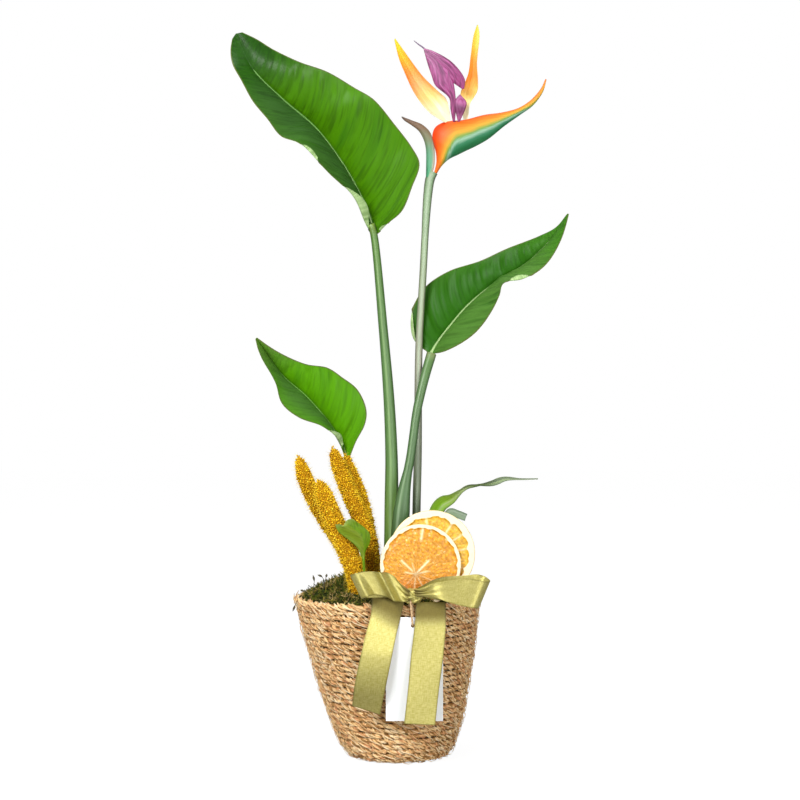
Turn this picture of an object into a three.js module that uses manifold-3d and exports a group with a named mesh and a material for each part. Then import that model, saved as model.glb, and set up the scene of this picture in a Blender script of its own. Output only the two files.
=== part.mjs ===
// Potted bird of paradise: one flower, three leaves, dyed foxtail millet, dried orange
// slices and grass standing in moss in a seagrass basket, with a satin bow and a blank tag.
// Millimetres, +Z up. The origin is the centre of the basket's base, on the surface that
// it stands on. +X is to the right of the bow and -Y points out of the basket's front.
import * as THREE from 'three';
import { mergeVertices } from 'three/addons/utils/BufferGeometryUtils.js';
import Module from 'manifold-3d';

const wasm = await Module();
wasm.setup();

// ---- driving dimensions -------------------------------------------------------------

const GAP = 0.3; // left between pieces that touch
const ROUND = 32; // sides of the basket and of what fills it

// The basket's outside: [height, radius]. Its walls lean a little to the left as they rise.
const BASKET_OUTSIDE = [
  [0, 37], [1.2, 40.5], [4.8, 43.2], [11, 46.8], [17.6, 49.6], [35, 55.6],
  [53, 60], [81, 66.4], [100, 70.4], [122, 74.6],
];
const BASKET_WALL = 5.3; // one row of seagrass rope
const BASKET_RIM = 128;
const BASKET_LEAN = -0.075; // sideways shift for each millimetre of height

const LINER_WALL = 1.2;
const LINER_SLACK = 0.5; // between the liner and the basket's wall
const LINER_RIM = 112;
const MOSS_EDGE = 125;
const MOSS_CROWN = 138;
const MOSS_LUMPS = [
  { x: -38, y: 8, spread: 16, height: 9 }, // behind the millet
  { x: 24, y: -45, spread: 12, height: 7 }, // under the orange slices
];

const LEAF_BLADE = 0.9;
const LEAF_MIDRIB = 2.6;
const SEPAL_THICK = 2.2;
const ARROW_THICK = 4.5;
const RIBBON_THICK = 0.8;

const SLICE_FRONT = { radius: 31.2, rind: 4.4, at: [16.6, -53.5, 156.8], tilt: 5 };
const SLICE_BACK = { radius: 33.3, rind: 4.4, at: [25.6, -47.6, 165.2], tilt: 5 };

const TAG = { width: 43.5, height: 80.5, thick: 0.6, hole: 1.5, holeDrop: 6.4, holeSide: -1.4 };
const TAG_TOP = [11.8, -79.5, 119.5]; // middle of the tag's top edge
const TAG_TILT = 6.3; // degrees, its foot towards the basket
const TWINE_RADIUS = 0.75;

const KNOT = { at: [10.2, -76.8, 134], radii: [7.6, 9.8, 8.4] };

// ---- shared shapes ------------------------------------------------------------------

const point = (p) => new THREE.Vector3(...p);
const curve = (points) => new THREE.CatmullRomCurve3(points.map(point), false, 'centripetal');

/** A value that runs smoothly through a list, from the first at 0 to the last at 1. */
function along(values) {
  const last = values.length - 1;
  return (u) => {
    const place = Math.min(Math.max(u, 0), 1) * last;
    const low = Math.min(Math.floor(place), last - 1);
    return THREE.MathUtils.lerp(values[low], values[low + 1], place - low);
  };
}

/** Merge shared corners, drop triangles with no area and turn every face outwards. */
function closed(geometry) {
  geometry.deleteAttribute('uv');
  geometry.deleteAttribute('normal');
  const merged = mergeVertices(geometry, 1e-3);
  const { array } = merged.index;
  const at = (i) => new THREE.Vector3().fromBufferAttribute(merged.attributes.position, i);
  const kept = [];
  let volume = 0;
  for (let i = 0; i < array.length; i += 3) {
    const [a, b, c] = [array[i], array[i + 1], array[i + 2]];
    if (a === b || b === c || c === a) continue;
    kept.push(a, b, c);
    volume += at(a).dot(at(b).cross(at(c)));
  }
  merged.setIndex(volume < 0 ? kept.reverse() : kept);
  merged.computeVertexNormals();
  return merged;
}

/** Move every corner of a geometry by a rule, then close it. */
function reshape(geometry, rule) {
  const { position } = geometry.attributes;
  const corner = new THREE.Vector3();
  for (let i = 0; i < position.count; i += 1) {
    corner.fromBufferAttribute(position, i);
    position.setXYZ(i, ...rule(corner).toArray());
  }
  return closed(geometry);
}

/** Turn an outline of [radius, height] pairs about Z. */
function turned(outline, sides = ROUND) {
  const profile = outline.map(([radius, height]) => new THREE.Vector2(radius, height));
  return new THREE.LatheGeometry(profile, sides).rotateX(Math.PI / 2);
}

/** A rod along a path, an ellipse across, with its half-width and half-depth along it. */
function rod(path, halfWidths, halfDepths, { sides = 8, steps = 16, grow = 0 } = {}) {
  const line = curve(path);
  const halfWidth = along(halfWidths);
  const halfDepth = along(halfDepths);
  return reshape(new THREE.CylinderGeometry(1, 1, 1, sides, steps), (corner) => {
    const u = corner.y + 0.5;
    const tangent = line.getTangentAt(u);
    const depthWay = new THREE.Vector3(0, 1, 0).addScaledVector(tangent, -tangent.y).normalize();
    const widthWay = new THREE.Vector3().crossVectors(depthWay, tangent);
    return line.getPointAt(u)
      .addScaledVector(tangent, 2 * (u - 0.5) * grow)
      .addScaledVector(widthWay, corner.x * (halfWidth(u) + grow))
      .addScaledVector(depthWay, corner.z * (halfDepth(u) + grow));
  });
}

/** A body between an upper and a lower edge line, rounded across, as deep as given. */
function hull(upper, lower, halfDepths, { sides = 12, steps = 20, grow = 0 } = {}) {
  const [over, under] = [curve(upper), curve(lower)];
  const halfDepth = along(halfDepths);
  return reshape(new THREE.CylinderGeometry(1, 1, 1, sides, steps), (corner) => {
    const u = corner.y + 0.5;
    const [high, low] = [over.getPoint(u), under.getPoint(u)];
    const reach = high.clone().sub(low).multiplyScalar(0.5);
    const ahead = over.getTangent(u).add(under.getTangent(u)).normalize();
    return high.add(low).multiplyScalar(0.5)
      .addScaledVector(ahead, 2 * (u - 0.5) * grow)
      .addScaledVector(reach, corner.x * (1 + grow / reach.length()))
      .add(new THREE.Vector3(0, corner.z * (halfDepth(u) + grow), 0));
  });
}

/**
 * A thin sheet through lines that run the same way: its two edges, or an edge, a midrib
 * and the other edge. thickness is given at [edge, middle]; crown lifts the middle.
 */
function sheet(lines, thickness, { lengthwise = 14, across = 6, crown = 0, taper = [1, 1] } = {}) {
  const curves = lines.map(curve);
  const tapering = along(taper);
  const onSheet = (u, v) => {
    const place = v * (curves.length - 1);
    const low = Math.min(Math.floor(place), curves.length - 2);
    return curves[low].getPointAt(u).lerp(curves[low + 1].getPointAt(u), place - low);
  };
  return reshape(new THREE.BoxGeometry(1, 1, 1, lengthwise, across, 1), (corner) => {
    const [u, v] = [corner.x + 0.5, corner.y + 0.5];
    const step = 1e-3;
    const [u0, v0] = [Math.min(u, 1 - step), Math.min(v, 1 - step)];
    const base = onSheet(u0, v0);
    const normal = onSheet(u0 + step, v0).sub(base)
      .cross(onSheet(u0, v0 + step).sub(base)).normalize();
    const [edge, middle] = thickness;
    const inner = 1 - Math.abs(2 * v - 1);
    const thick = THREE.MathUtils.lerp(edge, middle, inner ** 3) * tapering(u);
    const lift = crown * 4 * v * (1 - v) * Math.sin(Math.PI * u);
    return onSheet(u, v).addScaledVector(normal, corner.z * thick + lift);
  });
}

// ---- joining and cutting ------------------------------------------------------------

function solidOf(geometry) {
  return new wasm.Manifold(new wasm.Mesh({
    numProp: 3,
    vertProperties: new Float32Array(geometry.attributes.position.array),
    triVerts: new Uint32Array(geometry.index.array),
  }));
}

function geometryOf(solid) {
  const { numProp, vertProperties, triVerts } = solid.getMesh();
  const corners = [];
  for (let i = 0; i < vertProperties.length; i += numProp) {
    corners.push(vertProperties[i], vertProperties[i + 1], vertProperties[i + 2]);
  }
  const geometry = new THREE.BufferGeometry();
  geometry.setAttribute('position', new THREE.Float32BufferAttribute(corners, 3));
  geometry.setIndex([...triVerts]);
  geometry.computeVertexNormals();
  return geometry;
}

/** Cut pieces out of a body and keep the largest piece that is left. */
function carve(geometry, ...cutters) {
  const cut = cutters.reduce((body, cutter) => body.subtract(solidOf(cutter)), solidOf(geometry));
  const pieces = cut.decompose().sort((a, b) => b.volume() - a.volume());
  return geometryOf(pieces[0]);
}

// ---- basket and filling -------------------------------------------------------------

const basketRadius = (height) => {
  const next = BASKET_OUTSIDE.findIndex(([level]) => level >= height);
  const [[z0, r0], [z1, r1]] = [BASKET_OUTSIDE[Math.max(next - 1, 0)], BASKET_OUTSIDE[next]];
  return z1 === z0 ? r0 : THREE.MathUtils.lerp(r0, r1, (height - z0) / (z1 - z0));
};

/** Lean a turned body with the basket's walls. */
const lean = (corner) => corner.setX(corner.x + BASKET_LEAN * corner.z);

const innerLevels = [17.6, 53, LINER_RIM];
const linerRadius = (height) => basketRadius(height) - BASKET_WALL - LINER_SLACK;
const linerFloor = BASKET_WALL + GAP;
const linerFoot = linerRadius(linerFloor) - 0.6;

function basket() {
  const outside = BASKET_OUTSIDE.map(([height, radius]) => [radius, height]);
  const [topRadius] = outside.at(-1);
  const rim = [
    [topRadius + 0.2, 125], [topRadius - 1, 127.4], [topRadius - 2.8, BASKET_RIM],
    [topRadius - 4.6, 127.2], [topRadius - BASKET_WALL, 124.5],
  ];
  const inside = [100, 81, 53, 35, 17.6].map((z) => [basketRadius(z) - BASKET_WALL, z]);
  const floor = [[basketRadius(BASKET_WALL) - BASKET_WALL, BASKET_WALL], [0, BASKET_WALL]];
  return reshape(turned([[0, 0], ...outside, ...rim, ...inside, ...floor]), lean);
}

/** The basket's outside as one lump, a gap larger, for fitting the bow to the rim. */
function basketCutter() {
  const outside = BASKET_OUTSIDE.map(([height, radius]) => [radius + GAP, height]);
  const top = BASKET_RIM + GAP;
  const [topRadius] = outside.at(-1);
  return reshape(turned([
    [0, 0], ...outside, [topRadius + 0.2, 125], [topRadius - 1, 127.6],
    [topRadius - 3, top], [0, top],
  ]), lean);
}

function liner() {
  const walls = innerLevels.map((z) => [linerRadius(z), z]);
  const inner = innerLevels.map((z) => [linerRadius(z) - LINER_WALL, z]).reverse();
  return reshape(turned([
    [0, linerFloor], [linerFoot, linerFloor], ...walls, ...inner,
    [linerFoot - LINER_WALL, linerFloor + LINER_WALL], [0, linerFloor + LINER_WALL],
  ]), lean);
}

function soil(cutters) {
  const floor = linerFloor + LINER_WALL + GAP;
  const inset = LINER_WALL + GAP;
  const foot = linerFoot - inset;
  const walls = innerLevels.map((z) => [linerRadius(z) - inset, z === LINER_RIM ? z - GAP : z]);
  const body = reshape(turned([[0, floor], [foot, floor], ...walls, [0, LINER_RIM - GAP]]), lean);
  return carve(body, ...cutters);
}

function moss(cutters) {
  const foot = LINER_RIM + GAP;
  const crown = [[0.88, 0.32], [0.72, 0.62], [0.5, 0.84], [0.25, 0.96], [0, 1]];
  const edge = basketRadius(foot) - BASKET_WALL - GAP;
  const rise = MOSS_CROWN - MOSS_EDGE;
  const outline = [
    [0, foot], [edge, foot], [edge + 1.6, MOSS_EDGE - 2], [edge + 0.4, MOSS_EDGE + 1],
    ...crown.map(([out, up]) => [edge * out, MOSS_EDGE + rise * up]),
  ];
  const lumps = (corner) => MOSS_LUMPS.reduce((sum, { x, y, spread, height }) => {
    const off = (corner.x - x) ** 2 + (corner.y - y) ** 2;
    return sum + height * Math.exp(-off / (2 * spread ** 2));
  }, 0);
  const body = reshape(turned(outline), (corner) => {
    lean(corner);
    return corner.setZ(corner.z > MOSS_EDGE - 1 ? corner.z + lumps(corner) : corner.z);
  });
  return carve(body, ...cutters);
}

// ---- leaves and their stalks --------------------------------------------------------

const petioleTall = (grow = 0) => rod(
  [[-6, -6, 66], [-7, -5, 125], [-6, -4, 168], [-6, -3, 203], [-6, -2, 238], [-8, 0, 284],
    [-13, 2, 345], [-20, 4, 416]],
  [4.5, 5.4, 6.2, 5.6, 4.9, 4.3, 3.7, 3.3, 2.9],
  [4, 4.4, 4.8, 4.4, 4, 3.6, 3.2, 2.9, 2.6],
  { grow },
);

const petioleMid = (grow = 0) => rod(
  [[-3, -23, 66], [-2, -22, 126], [0, -20, 173], [4, -16, 212], [9, -13.5, 238], [14, -9.5, 274],
    [17, -7.5, 288], [21, -4, 304], [26, 3, 321]],
  [5, 6, 7, 7, 4.6, 3.4, 3.4, 3.6, 4],
  [4, 4.6, 5, 4.6, 3.4, 3, 3, 3, 2.8],
  { grow },
);

const petioleSmall = (grow = 0) => rod(
  [[-20, 16, 70], [-22, 14, 147], [-27, 14, 171], [-34, 13, 203], [-41, 12, 237.6]],
  [2.6, 2.5, 2.3, 2.2, 2],
  [2.4, 2.3, 2.2, 2, 1.8],
  { grow, sides: 8, steps: 12 },
);

function leafTall() {
  const left = [
    [-21.8, 3, 417.6], [-28, -5, 428], [-38, -18, 447], [-53, -30, 462], [-63, -38, 471],
    [-77, -40, 483], [-92, -36, 490], [-102, -40, 504], [-114, -42, 518], [-123, -42, 533],
    [-130, -40, 547], [-131, -36, 560], [-128.5, -34, 569.5],
  ];
  const midrib = [
    [-19.6, 4, 417], [-24, 4, 434], [-34, 2, 455], [-48, 0, 478], [-67, -4, 502],
    [-93, -10, 523], [-115, -18, 544], [-127.8, -32, 570.2],
  ];
  const right = [
    [-17.2, 3, 418], [-9, 0, 426], [2, -6, 435], [10, -10, 454], [16, -12, 472],
    [10, -12, 485], [-3, -14, 502], [-21, -18, 522], [-37, -16, 532], [-57, -20, 543],
    [-79, -24, 550], [-108, -28, 566], [-127, -34, 570.8],
  ];
  const blade = sheet([left, midrib, right], [LEAF_BLADE, LEAF_MIDRIB], { lengthwise: 18 });
  return carve(blade, petioleTall(GAP));
}

function leafMid() {
  const upper = [
    [22.6, 3, 323], [12, 8, 333], [10, 11, 350], [15, 12.5, 366], [23, 12, 377], [41, 6, 388],
    [65, 2, 395], [85, -4, 404], [110, -12, 414], [124, -20, 421], [131.6, -27, 430],
  ];
  const midrib = [
    [25.4, 3, 322], [31, 5, 331], [41, 2, 344], [56, -2, 361], [80, -6, 380], [100, -10, 392],
    [119, -18, 410], [132, -27.6, 430],
  ];
  const lower = [
    [28.4, 3, 321.6], [39, -8, 324], [58, -22, 337], [73, -30, 355], [79, -32, 366],
    [82, -30, 375], [96, -30, 379], [113, -34, 390], [127, -34, 410], [132.4, -28.4, 429.6],
  ];
  const blade = sheet([upper, midrib, lower], [LEAF_BLADE, LEAF_MIDRIB], { lengthwise: 16 });
  return carve(blade, petioleMid(GAP));
}

function leafSmall() {
  const lower = [
    [-42.8, 12, 237.8], [-47, 3, 250], [-61, -12, 263], [-78, -20, 271], [-91, -24, 282],
    [-97, -22, 297], [-108, -22, 316], [-113.4, -13, 332.6],
  ];
  const midrib = [
    [-41.2, 12, 237], [-45, 12, 248], [-56, 9, 266], [-75, 4, 288], [-93, 0, 304],
    [-113, -12, 333],
  ];
  const upper = [
    [-39.6, 12, 237.8], [-34, 9, 251], [-27, 6, 265], [-26, 4, 276], [-33, 1, 292],
    [-45, -2, 302], [-57, -4, 310], [-75, -6, 313], [-97, -10, 322], [-112.6, -12, 333.4],
  ];
  const blade = sheet([lower, midrib, upper], [LEAF_BLADE, 2], { lengthwise: 14 });
  return carve(blade, petioleSmall(GAP));
}

// ---- flower -------------------------------------------------------------------------

const flowerStem = (grow = 0) => rod(
  [[13.5, 2, 62], [14, 2, 197], [15, 2, 238], [16, 2, 327], [19, 2, 381], [23, 2, 448],
    [25, 2, 461.6]],
  [3.4, 3.4, 3.4, 3.3, 3.1, 3, 2.9, 2.9, 4],
  [3.4, 3.4, 3.4, 3.3, 3.1, 3, 2.9, 2.9, 3.8],
  { grow, steps: 20 },
);

const spathe = (grow = 0) => hull(
  [[26.6, 2, 463], [29, 2, 477], [28, 2, 491], [29.6, 2, 502], [38.4, 2, 507], [52.8, 2, 508.4],
    [68.8, 2, 512.4], [83.2, 2, 514.4], [96, 2, 518], [105.6, 2, 524.2], [113.6, 2, 533.4],
    [117.2, 2, 541]],
  [[29.6, 2, 463], [35.2, 2, 471.6], [40.8, 2, 476.8], [48, 2, 480.4], [54.4, 2, 483.6],
    [61.6, 2, 487], [72, 2, 493], [84.8, 2, 503.4], [96.8, 2, 512], [107.2, 2, 519.6],
    [115.2, 2, 530.4], [118.2, 2, 540.6]],
  [2.2, 4.2, 6, 7.6, 8.4, 8.2, 7, 5, 3.2, 2, 1.2, 0.6],
  { grow },
);

function bract() {
  const outer = [
    [21.6, 2, 462], [21.8, 2, 472], [21.6, 2, 485], [20, 2, 492], [16, 2, 499.2],
    [10, 2, 504], [4, 2, 508], [1.8, 2, 510.6],
  ];
  const inner = [
    [25.4, 2, 462], [28.4, 2, 471], [28.8, 2, 483.6], [27.4, 2, 492.6], [24.4, 2, 499.4],
    [18.4, 2, 504.8], [10.4, 2, 508], [2.6, 2, 511],
  ];
  const body = hull(outer, inner, [3.2, 3.4, 3, 2.4, 2, 1.6, 1.2, 0.8], { sides: 10, steps: 14 });
  return carve(body, spathe(GAP), flowerStem(GAP));
}

function sepalLeft() {
  const outer = [
    [-3.8, 5, 572.6], [0, 4, 557], [4.8, 3, 544.8], [11.2, 3, 531], [16.8, 3, 522.4],
    [23.6, 3, 514.4], [30.4, 3, 509.6], [36.4, 3, 506],
  ];
  const inner = [
    [-3, 5, 573.6], [4.8, 4.4, 562.4], [13.6, 5, 550.4], [20, 5, 542.4], [31.2, 6, 532],
    [37.6, 6, 526], [40, 5.4, 517.6], [41, 4, 506],
  ];
  const blade = sheet([outer, inner], [SEPAL_THICK, SEPAL_THICK], {
    lengthwise: 12, across: 4, crown: 3, taper: [0.4, 1, 1, 1],
  });
  return carve(blade, spathe(GAP));
}

function sepalRight() {
  const outer = [
    [62.8, 8, 585.6], [60, 7.4, 577], [57.6, 7, 560], [55.8, 7, 546.4], [52.4, 7, 536.8],
    [49.6, 7, 530.4], [50, 5, 520], [52, 4, 506],
  ];
  const inner = [
    [63.6, 8, 585.6], [64.8, 7.6, 577.6], [62.8, 8, 554.4], [63.6, 8.4, 540], [63.2, 8.4, 532],
    [60, 7, 525.6], [57.2, 5, 520.8], [55.2, 4, 506],
  ];
  const blade = sheet([outer, inner], [SEPAL_THICK, SEPAL_THICK], {
    lengthwise: 12, across: 4, crown: 2, taper: [0.4, 1, 1, 1],
  });
  return carve(blade, spathe(GAP));
}

/** The two blue petals joined as an arrow head, with the narrow claw that carries it. */
function petalArrow() {
  const outline = new THREE.Shape();
  outline.moveTo(19.6, 564.6);
  outline.splineThru([[27.2, 562.2], [41.9, 553.4], [51.9, 539.8], [52.3, 534.2]]
    .map((p) => new THREE.Vector2(...p)));
  outline.lineTo(50.3, 531.4);
  outline.lineTo(44.8, 537);
  outline.lineTo(40.8, 539.8);
  outline.lineTo(44.4, 528.6);
  outline.lineTo(45, 519);
  outline.lineTo(44.4, 506);
  outline.lineTo(42.4, 506);
  outline.lineTo(40.4, 516);
  outline.lineTo(40, 524.4);
  outline.lineTo(28.4, 535);
  outline.lineTo(25.6, 543);
  outline.lineTo(22.4, 552.6);
  outline.closePath();
  const body = closed(new THREE.ExtrudeGeometry(outline, {
    depth: ARROW_THICK, bevelEnabled: false, curveSegments: 4,
  }).rotateX(Math.PI / 2).translate(0, -2, 0));
  return carve(body, spathe(GAP));
}

function stigma() {
  const path = [[12, -5, 570.4], [15.8, -4.6, 567.4], [19.2, -4.3, 564.9]];
  return rod(path, [0.35, 0.5, 0.6], [0.35, 0.5, 0.6], { sides: 6, steps: 4 });
}

function petalSmall() {
  const upper = [[48, -3.5, 527.6], [45.2, -3.5, 522], [45.8, -3.5, 515], [47, -1, 504]];
  const lower = [[49.2, -3.5, 527.6], [53, -3.5, 521], [51.8, -3.5, 515], [48.4, -1, 504]];
  const body = hull(upper, lower, [0.8, 2.6, 2.4, 0.8], { sides: 10, steps: 10 });
  return carve(body, spathe(GAP));
}

// ---- dried and cut trimmings --------------------------------------------------------

/** A millet spike on its stalk: the path runs from the foot in the soil to the tip. */
const millet = (foot, spike, radius) => (grow = 0) => {
  const stalk = 1.3;
  const girth = [0.8, 0.94, 1, 1, 1, 0.99, 0.96, 0.9, 0.5].map((share) => share * radius);
  const girths = [stalk, stalk, stalk, ...girth];
  return rod([...foot, ...spike], girths, girths, { grow, steps: 18 });
};

const millets = [
  millet([[-27, -19, 86], [-29, -20, 122]],
    [[-32, -22, 144], [-39, -22, 161], [-51.5, -21.6, 181], [-64, -21, 201], [-73.6, -20, 221],
      [-79.6, -18, 240]], 7.4),
  millet([[-29, -36, 86], [-31, -37, 124]],
    [[-33.6, -39, 149], [-40.4, -39.4, 167], [-48.4, -39.4, 185], [-56.6, -39, 204],
      [-63, -38, 222]], 8.6),
  millet([[-18, -12, 86], [-19, -12, 124]],
    [[-21, -12, 150], [-23.6, -12, 171], [-30, -12, 189], [-39, -12, 209], [-47, -12, 229],
      [-53, -12, 247]], 7.2),
  millet([[-20, 4, 86], [-21, 4, 124]],
    [[-21.6, 4, 149], [-23, 4, 166], [-26, 4, 184], [-30.6, 4, 204], [-38, 3, 224],
      [-43, 2, 241]], 6.8),
];

/** A small cut leaf: a wedge-shaped blade that narrows into its stalk. */
const cutLeafStalk = (grow = 0) => rod(
  [[-25, -46, 96], [-26, -47.4, 132], [-27.4, -48.6, 161]],
  [1.1, 1.1, 1.1], [1, 1, 1], { grow, sides: 8, steps: 6 },
);

function cutLeaf() {
  const left = [
    [-28.4, -48.6, 160.4], [-31.6, -50, 169], [-39, -51, 176], [-47, -51.4, 182.6],
    [-49.4, -51, 188.4],
  ];
  const right = [
    [-26.6, -48.6, 160.4], [-25.6, -48, 167], [-22.6, -47.4, 173], [-22.6, -47.4, 180.6],
    [-30, -49, 188], [-36.4, -50, 192.4],
  ];
  const blade = solidOf(sheet([left, right], [0.8, 1.1], { lengthwise: 8, across: 4, crown: 1 }));
  const pieces = blade.add(solidOf(cutLeafStalk())).decompose();
  return geometryOf(pieces.sort((a, b) => b.volume() - a.volume())[0]);
}

const grassBlade = (grow = 0) => rod(
  [[26.4, -33, 100], [26.8, -33, 165], [28, -32, 193], [33, -31.6, 202.4], [41, -31, 206.6],
    [47, -31, 211.4], [53.6, -31, 215.8], [60.4, -31, 217], [72.8, -31, 218.8],
    [83, -30.6, 222.2], [96.4, -30, 222], [109, -29, 222.2]],
  [2.6, 2.8, 3, 3.2, 3.4, 3.8, 4.2, 2.6, 1.1, 2, 1, 0.7, 0.5],
  [0.8, 0.8, 0.8, 0.8, 0.8, 0.8, 0.8, 0.7, 0.7, 0.6, 0.5, 0.5, 0.4],
  { grow, steps: 26 },
);

const grassEnd = (grow = 0) => rod(
  [[35, -38.6, 100], [36, -38.4, 165], [36.6, -38, 190], [40, -37.6, 197.8],
    [45.6, -37.4, 196.4], [52.4, -37, 193.8]],
  [2.4, 2.6, 2.8, 3, 3, 3.6, 3], [0.8, 0.8, 0.8, 0.8, 0.8, 0.8, 0.7],
  { grow, sides: 8, steps: 16 },
);

/** A dried orange slice: a disc with its pulp sunk a little below its rind. */
function orangeSlice({ radius, rind, at, tilt }, grow = 0) {
  const half = rind / 2 + grow;
  const pulp = half - 0.8;
  const outer = radius + grow;
  const disc = closed(turned([
    [0, -pulp], [radius - 6, -pulp], [radius - 3, -half], [outer, 0.3 - half],
    [outer, half - 0.3], [radius - 3, half], [radius - 6, pulp], [0, pulp],
  ]));
  disc.rotateX(THREE.MathUtils.degToRad(90 - tilt)).translate(...at);
  return disc;
}

// ---- bow and tag --------------------------------------------------------------------

const knot = (grow = 0) => reshape(new THREE.SphereGeometry(1, 14, 8), (corner) => {
  const radii = point(KNOT.radii).addScalar(grow);
  return corner.multiply(radii).add(point(KNOT.at));
});

/** A ribbon between its two edge lines, cut clear of the knot and of the basket's rim. */
function ribbon(edges, lengthwise) {
  const band = sheet(edges, [RIBBON_THICK, RIBBON_THICK], { lengthwise, across: 3 });
  return carve(band, knot(GAP), basketCutter());
}

const loopLeft = () => ribbon([
  [[8, -85, 141], [-6, -91, 149], [-24, -92, 155], [-36, -88, 154.6], [-33, -80, 155],
    [-16, -78, 154], [6, -80, 142]],
  [[8, -86, 134], [-5, -92, 132], [-18, -94, 131.4], [-28, -91, 133], [-26, -83, 133.6],
    [-12, -79, 133], [6, -80, 136]],
], 22);

const loopRight = () => ribbon([
  [[12, -84, 141], [28, -90, 147], [48, -92, 150.6], [66, -91, 151], [69, -86, 149.4],
    [52, -79, 152], [30, -77.6, 150], [14, -79, 142]],
  [[12, -86, 135], [28, -92, 134], [44, -94, 129.6], [56, -93, 127.4], [60, -87, 127.8],
    [50, -80, 131], [30, -78, 132], [14, -79, 136]],
], 22);

const tailLeft = () => ribbon([
  [[-20.4, -83, 134], [-21, -86, 121.7], [-25, -87, 107], [-29, -85, 92], [-33.2, -79.6, 72],
    [-35.6, -71, 51]],
  [[5.4, -81.4, 133.4], [2, -86, 119.5], [-1.5, -87, 106], [-5.3, -85, 88], [-9.8, -79.6, 68],
    [-13.9, -71, 44]],
], 10);

const tailRight = () => ribbon([
  [[12.8, -83.4, 130.8], [11.9, -86, 112.7], [9.1, -86, 89.3], [6.8, -83, 66], [3.8, -79, 40]],
  [[35.5, -83.4, 130.8], [35.5, -86, 112.7], [33.7, -86, 91.6], [30.3, -83, 66], [27.3, -79, 39]],
], 10);

const TWINE_ROUTE = [
  [8.6, -82.6, 134], [9.2, -83, 126], [9.9, -82.6, 118], [10.2, -81.4, 114.4],
  [10.4, -79, 113.2], [10.6, -76.8, 114.4], [10.6, -75.8, 118], [10.4, -76.2, 126],
  [10.2, -77, 134],
];

function twine() {
  const section = new THREE.Shape().absarc(0, 0, TWINE_RADIUS, 0, 2 * Math.PI);
  const strand = new THREE.ExtrudeGeometry(section, {
    steps: 20, extrudePath: curve(TWINE_ROUTE), curveSegments: 4, bevelEnabled: false,
  });
  return carve(closed(strand), knot(GAP));
}

function tag() {
  const { width, height, thick, hole, holeDrop, holeSide } = TAG;
  const outline = new THREE.Shape()
    .moveTo(-width / 2, -height).lineTo(width / 2, -height).lineTo(width / 2, 0).lineTo(-width / 2, 0)
    .closePath();
  outline.holes.push(new THREE.Path().absarc(holeSide, -holeDrop, hole, 0, 2 * Math.PI, true));
  const card = new THREE.ExtrudeGeometry(outline, {
    depth: thick, bevelEnabled: false, curveSegments: 8,
  });
  return closed(card.rotateX(Math.PI / 2));
}

// ---- assembly -----------------------------------------------------------------------

const finish = (color, roughness) => new THREE.MeshStandardMaterial({
  color, roughness, metalness: 0,
});

const finishes = {
  seagrass: finish('#b8946a', 0.9),
  liner: finish('#4a4038', 0.7),
  soil: finish('#3a2a1e', 1),
  moss: finish('#4c5a26', 1),
  leaf: finish('#3f7d12', 0.35),
  petiole: finish('#86a977', 0.45),
  spathe: finish('#e8821e', 0.4),
  bract: finish('#6f5c48', 0.5),
  sepal: finish('#f6a321', 0.45),
  violet: finish('#a24c8e', 0.5),
  millet: finish('#dba514', 0.9),
  cutLeaf: finish('#56881f', 0.5),
  grass: finish('#6f8757', 0.6),
  orange: finish('#f0a22e', 0.5),
  ribbon: finish('#bdb45c', 0.35),
  card: finish('#f7f8fb', 0.8),
  twine: finish('#cbb08e', 0.9),
};

function piece(name, geometry, material) {
  const mesh = new THREE.Mesh(geometry, material);
  mesh.name = name;
  return mesh;
}

const group = (...pieces) => new THREE.Group().add(...pieces);

const stems = [
  petioleTall(GAP), petioleMid(GAP), petioleSmall(GAP), flowerStem(GAP), cutLeafStalk(GAP),
  grassBlade(GAP), grassEnd(GAP), ...millets.map((make) => make(GAP)),
];
const slices = [orangeSlice(SLICE_FRONT, GAP), orangeSlice(SLICE_BACK, GAP)];

const holder = group(
  piece('basket', basket(), finishes.seagrass),
  piece('plastic_liner', liner(), finishes.liner),
  piece('potting_soil', soil(stems), finishes.soil),
  piece('moss_mound', moss([...stems, ...slices]), finishes.moss),
);

const plant = group(
  piece('petiole_tall', petioleTall(), finishes.petiole),
  piece('leaf_tall', leafTall(), finishes.leaf),
  piece('petiole_mid', petioleMid(), finishes.petiole),
  piece('leaf_mid', leafMid(), finishes.leaf),
  piece('petiole_small', petioleSmall(), finishes.petiole),
  piece('leaf_small', leafSmall(), finishes.leaf),
  piece('flower_stem', flowerStem(), finishes.petiole),
  piece('spathe', spathe(), finishes.spathe),
  piece('bract', bract(), finishes.bract),
  piece('sepal_left', sepalLeft(), finishes.sepal),
  piece('sepal_right', sepalRight(), finishes.sepal),
  piece('petal_arrow', petalArrow(), finishes.violet),
  piece('petal_small', petalSmall(), finishes.violet),
  piece('stigma', stigma(), finishes.violet),
);

const trimmings = group(
  ...millets.map((make, i) => piece(`millet_spike_${i + 1}`, make(), finishes.millet)),
  piece('cut_leaf', cutLeaf(), finishes.cutLeaf),
  piece('grass_blade', grassBlade(), finishes.grass),
  piece('grass_end', grassEnd(), finishes.grass),
  piece('orange_slice_front', orangeSlice(SLICE_FRONT), finishes.orange),
  piece('orange_slice_back', orangeSlice(SLICE_BACK), finishes.orange),
);

const giftTag = piece('gift_tag', tag(), finishes.card);
giftTag.position.set(...TAG_TOP);
giftTag.rotation.x = THREE.MathUtils.degToRad(TAG_TILT);

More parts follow.
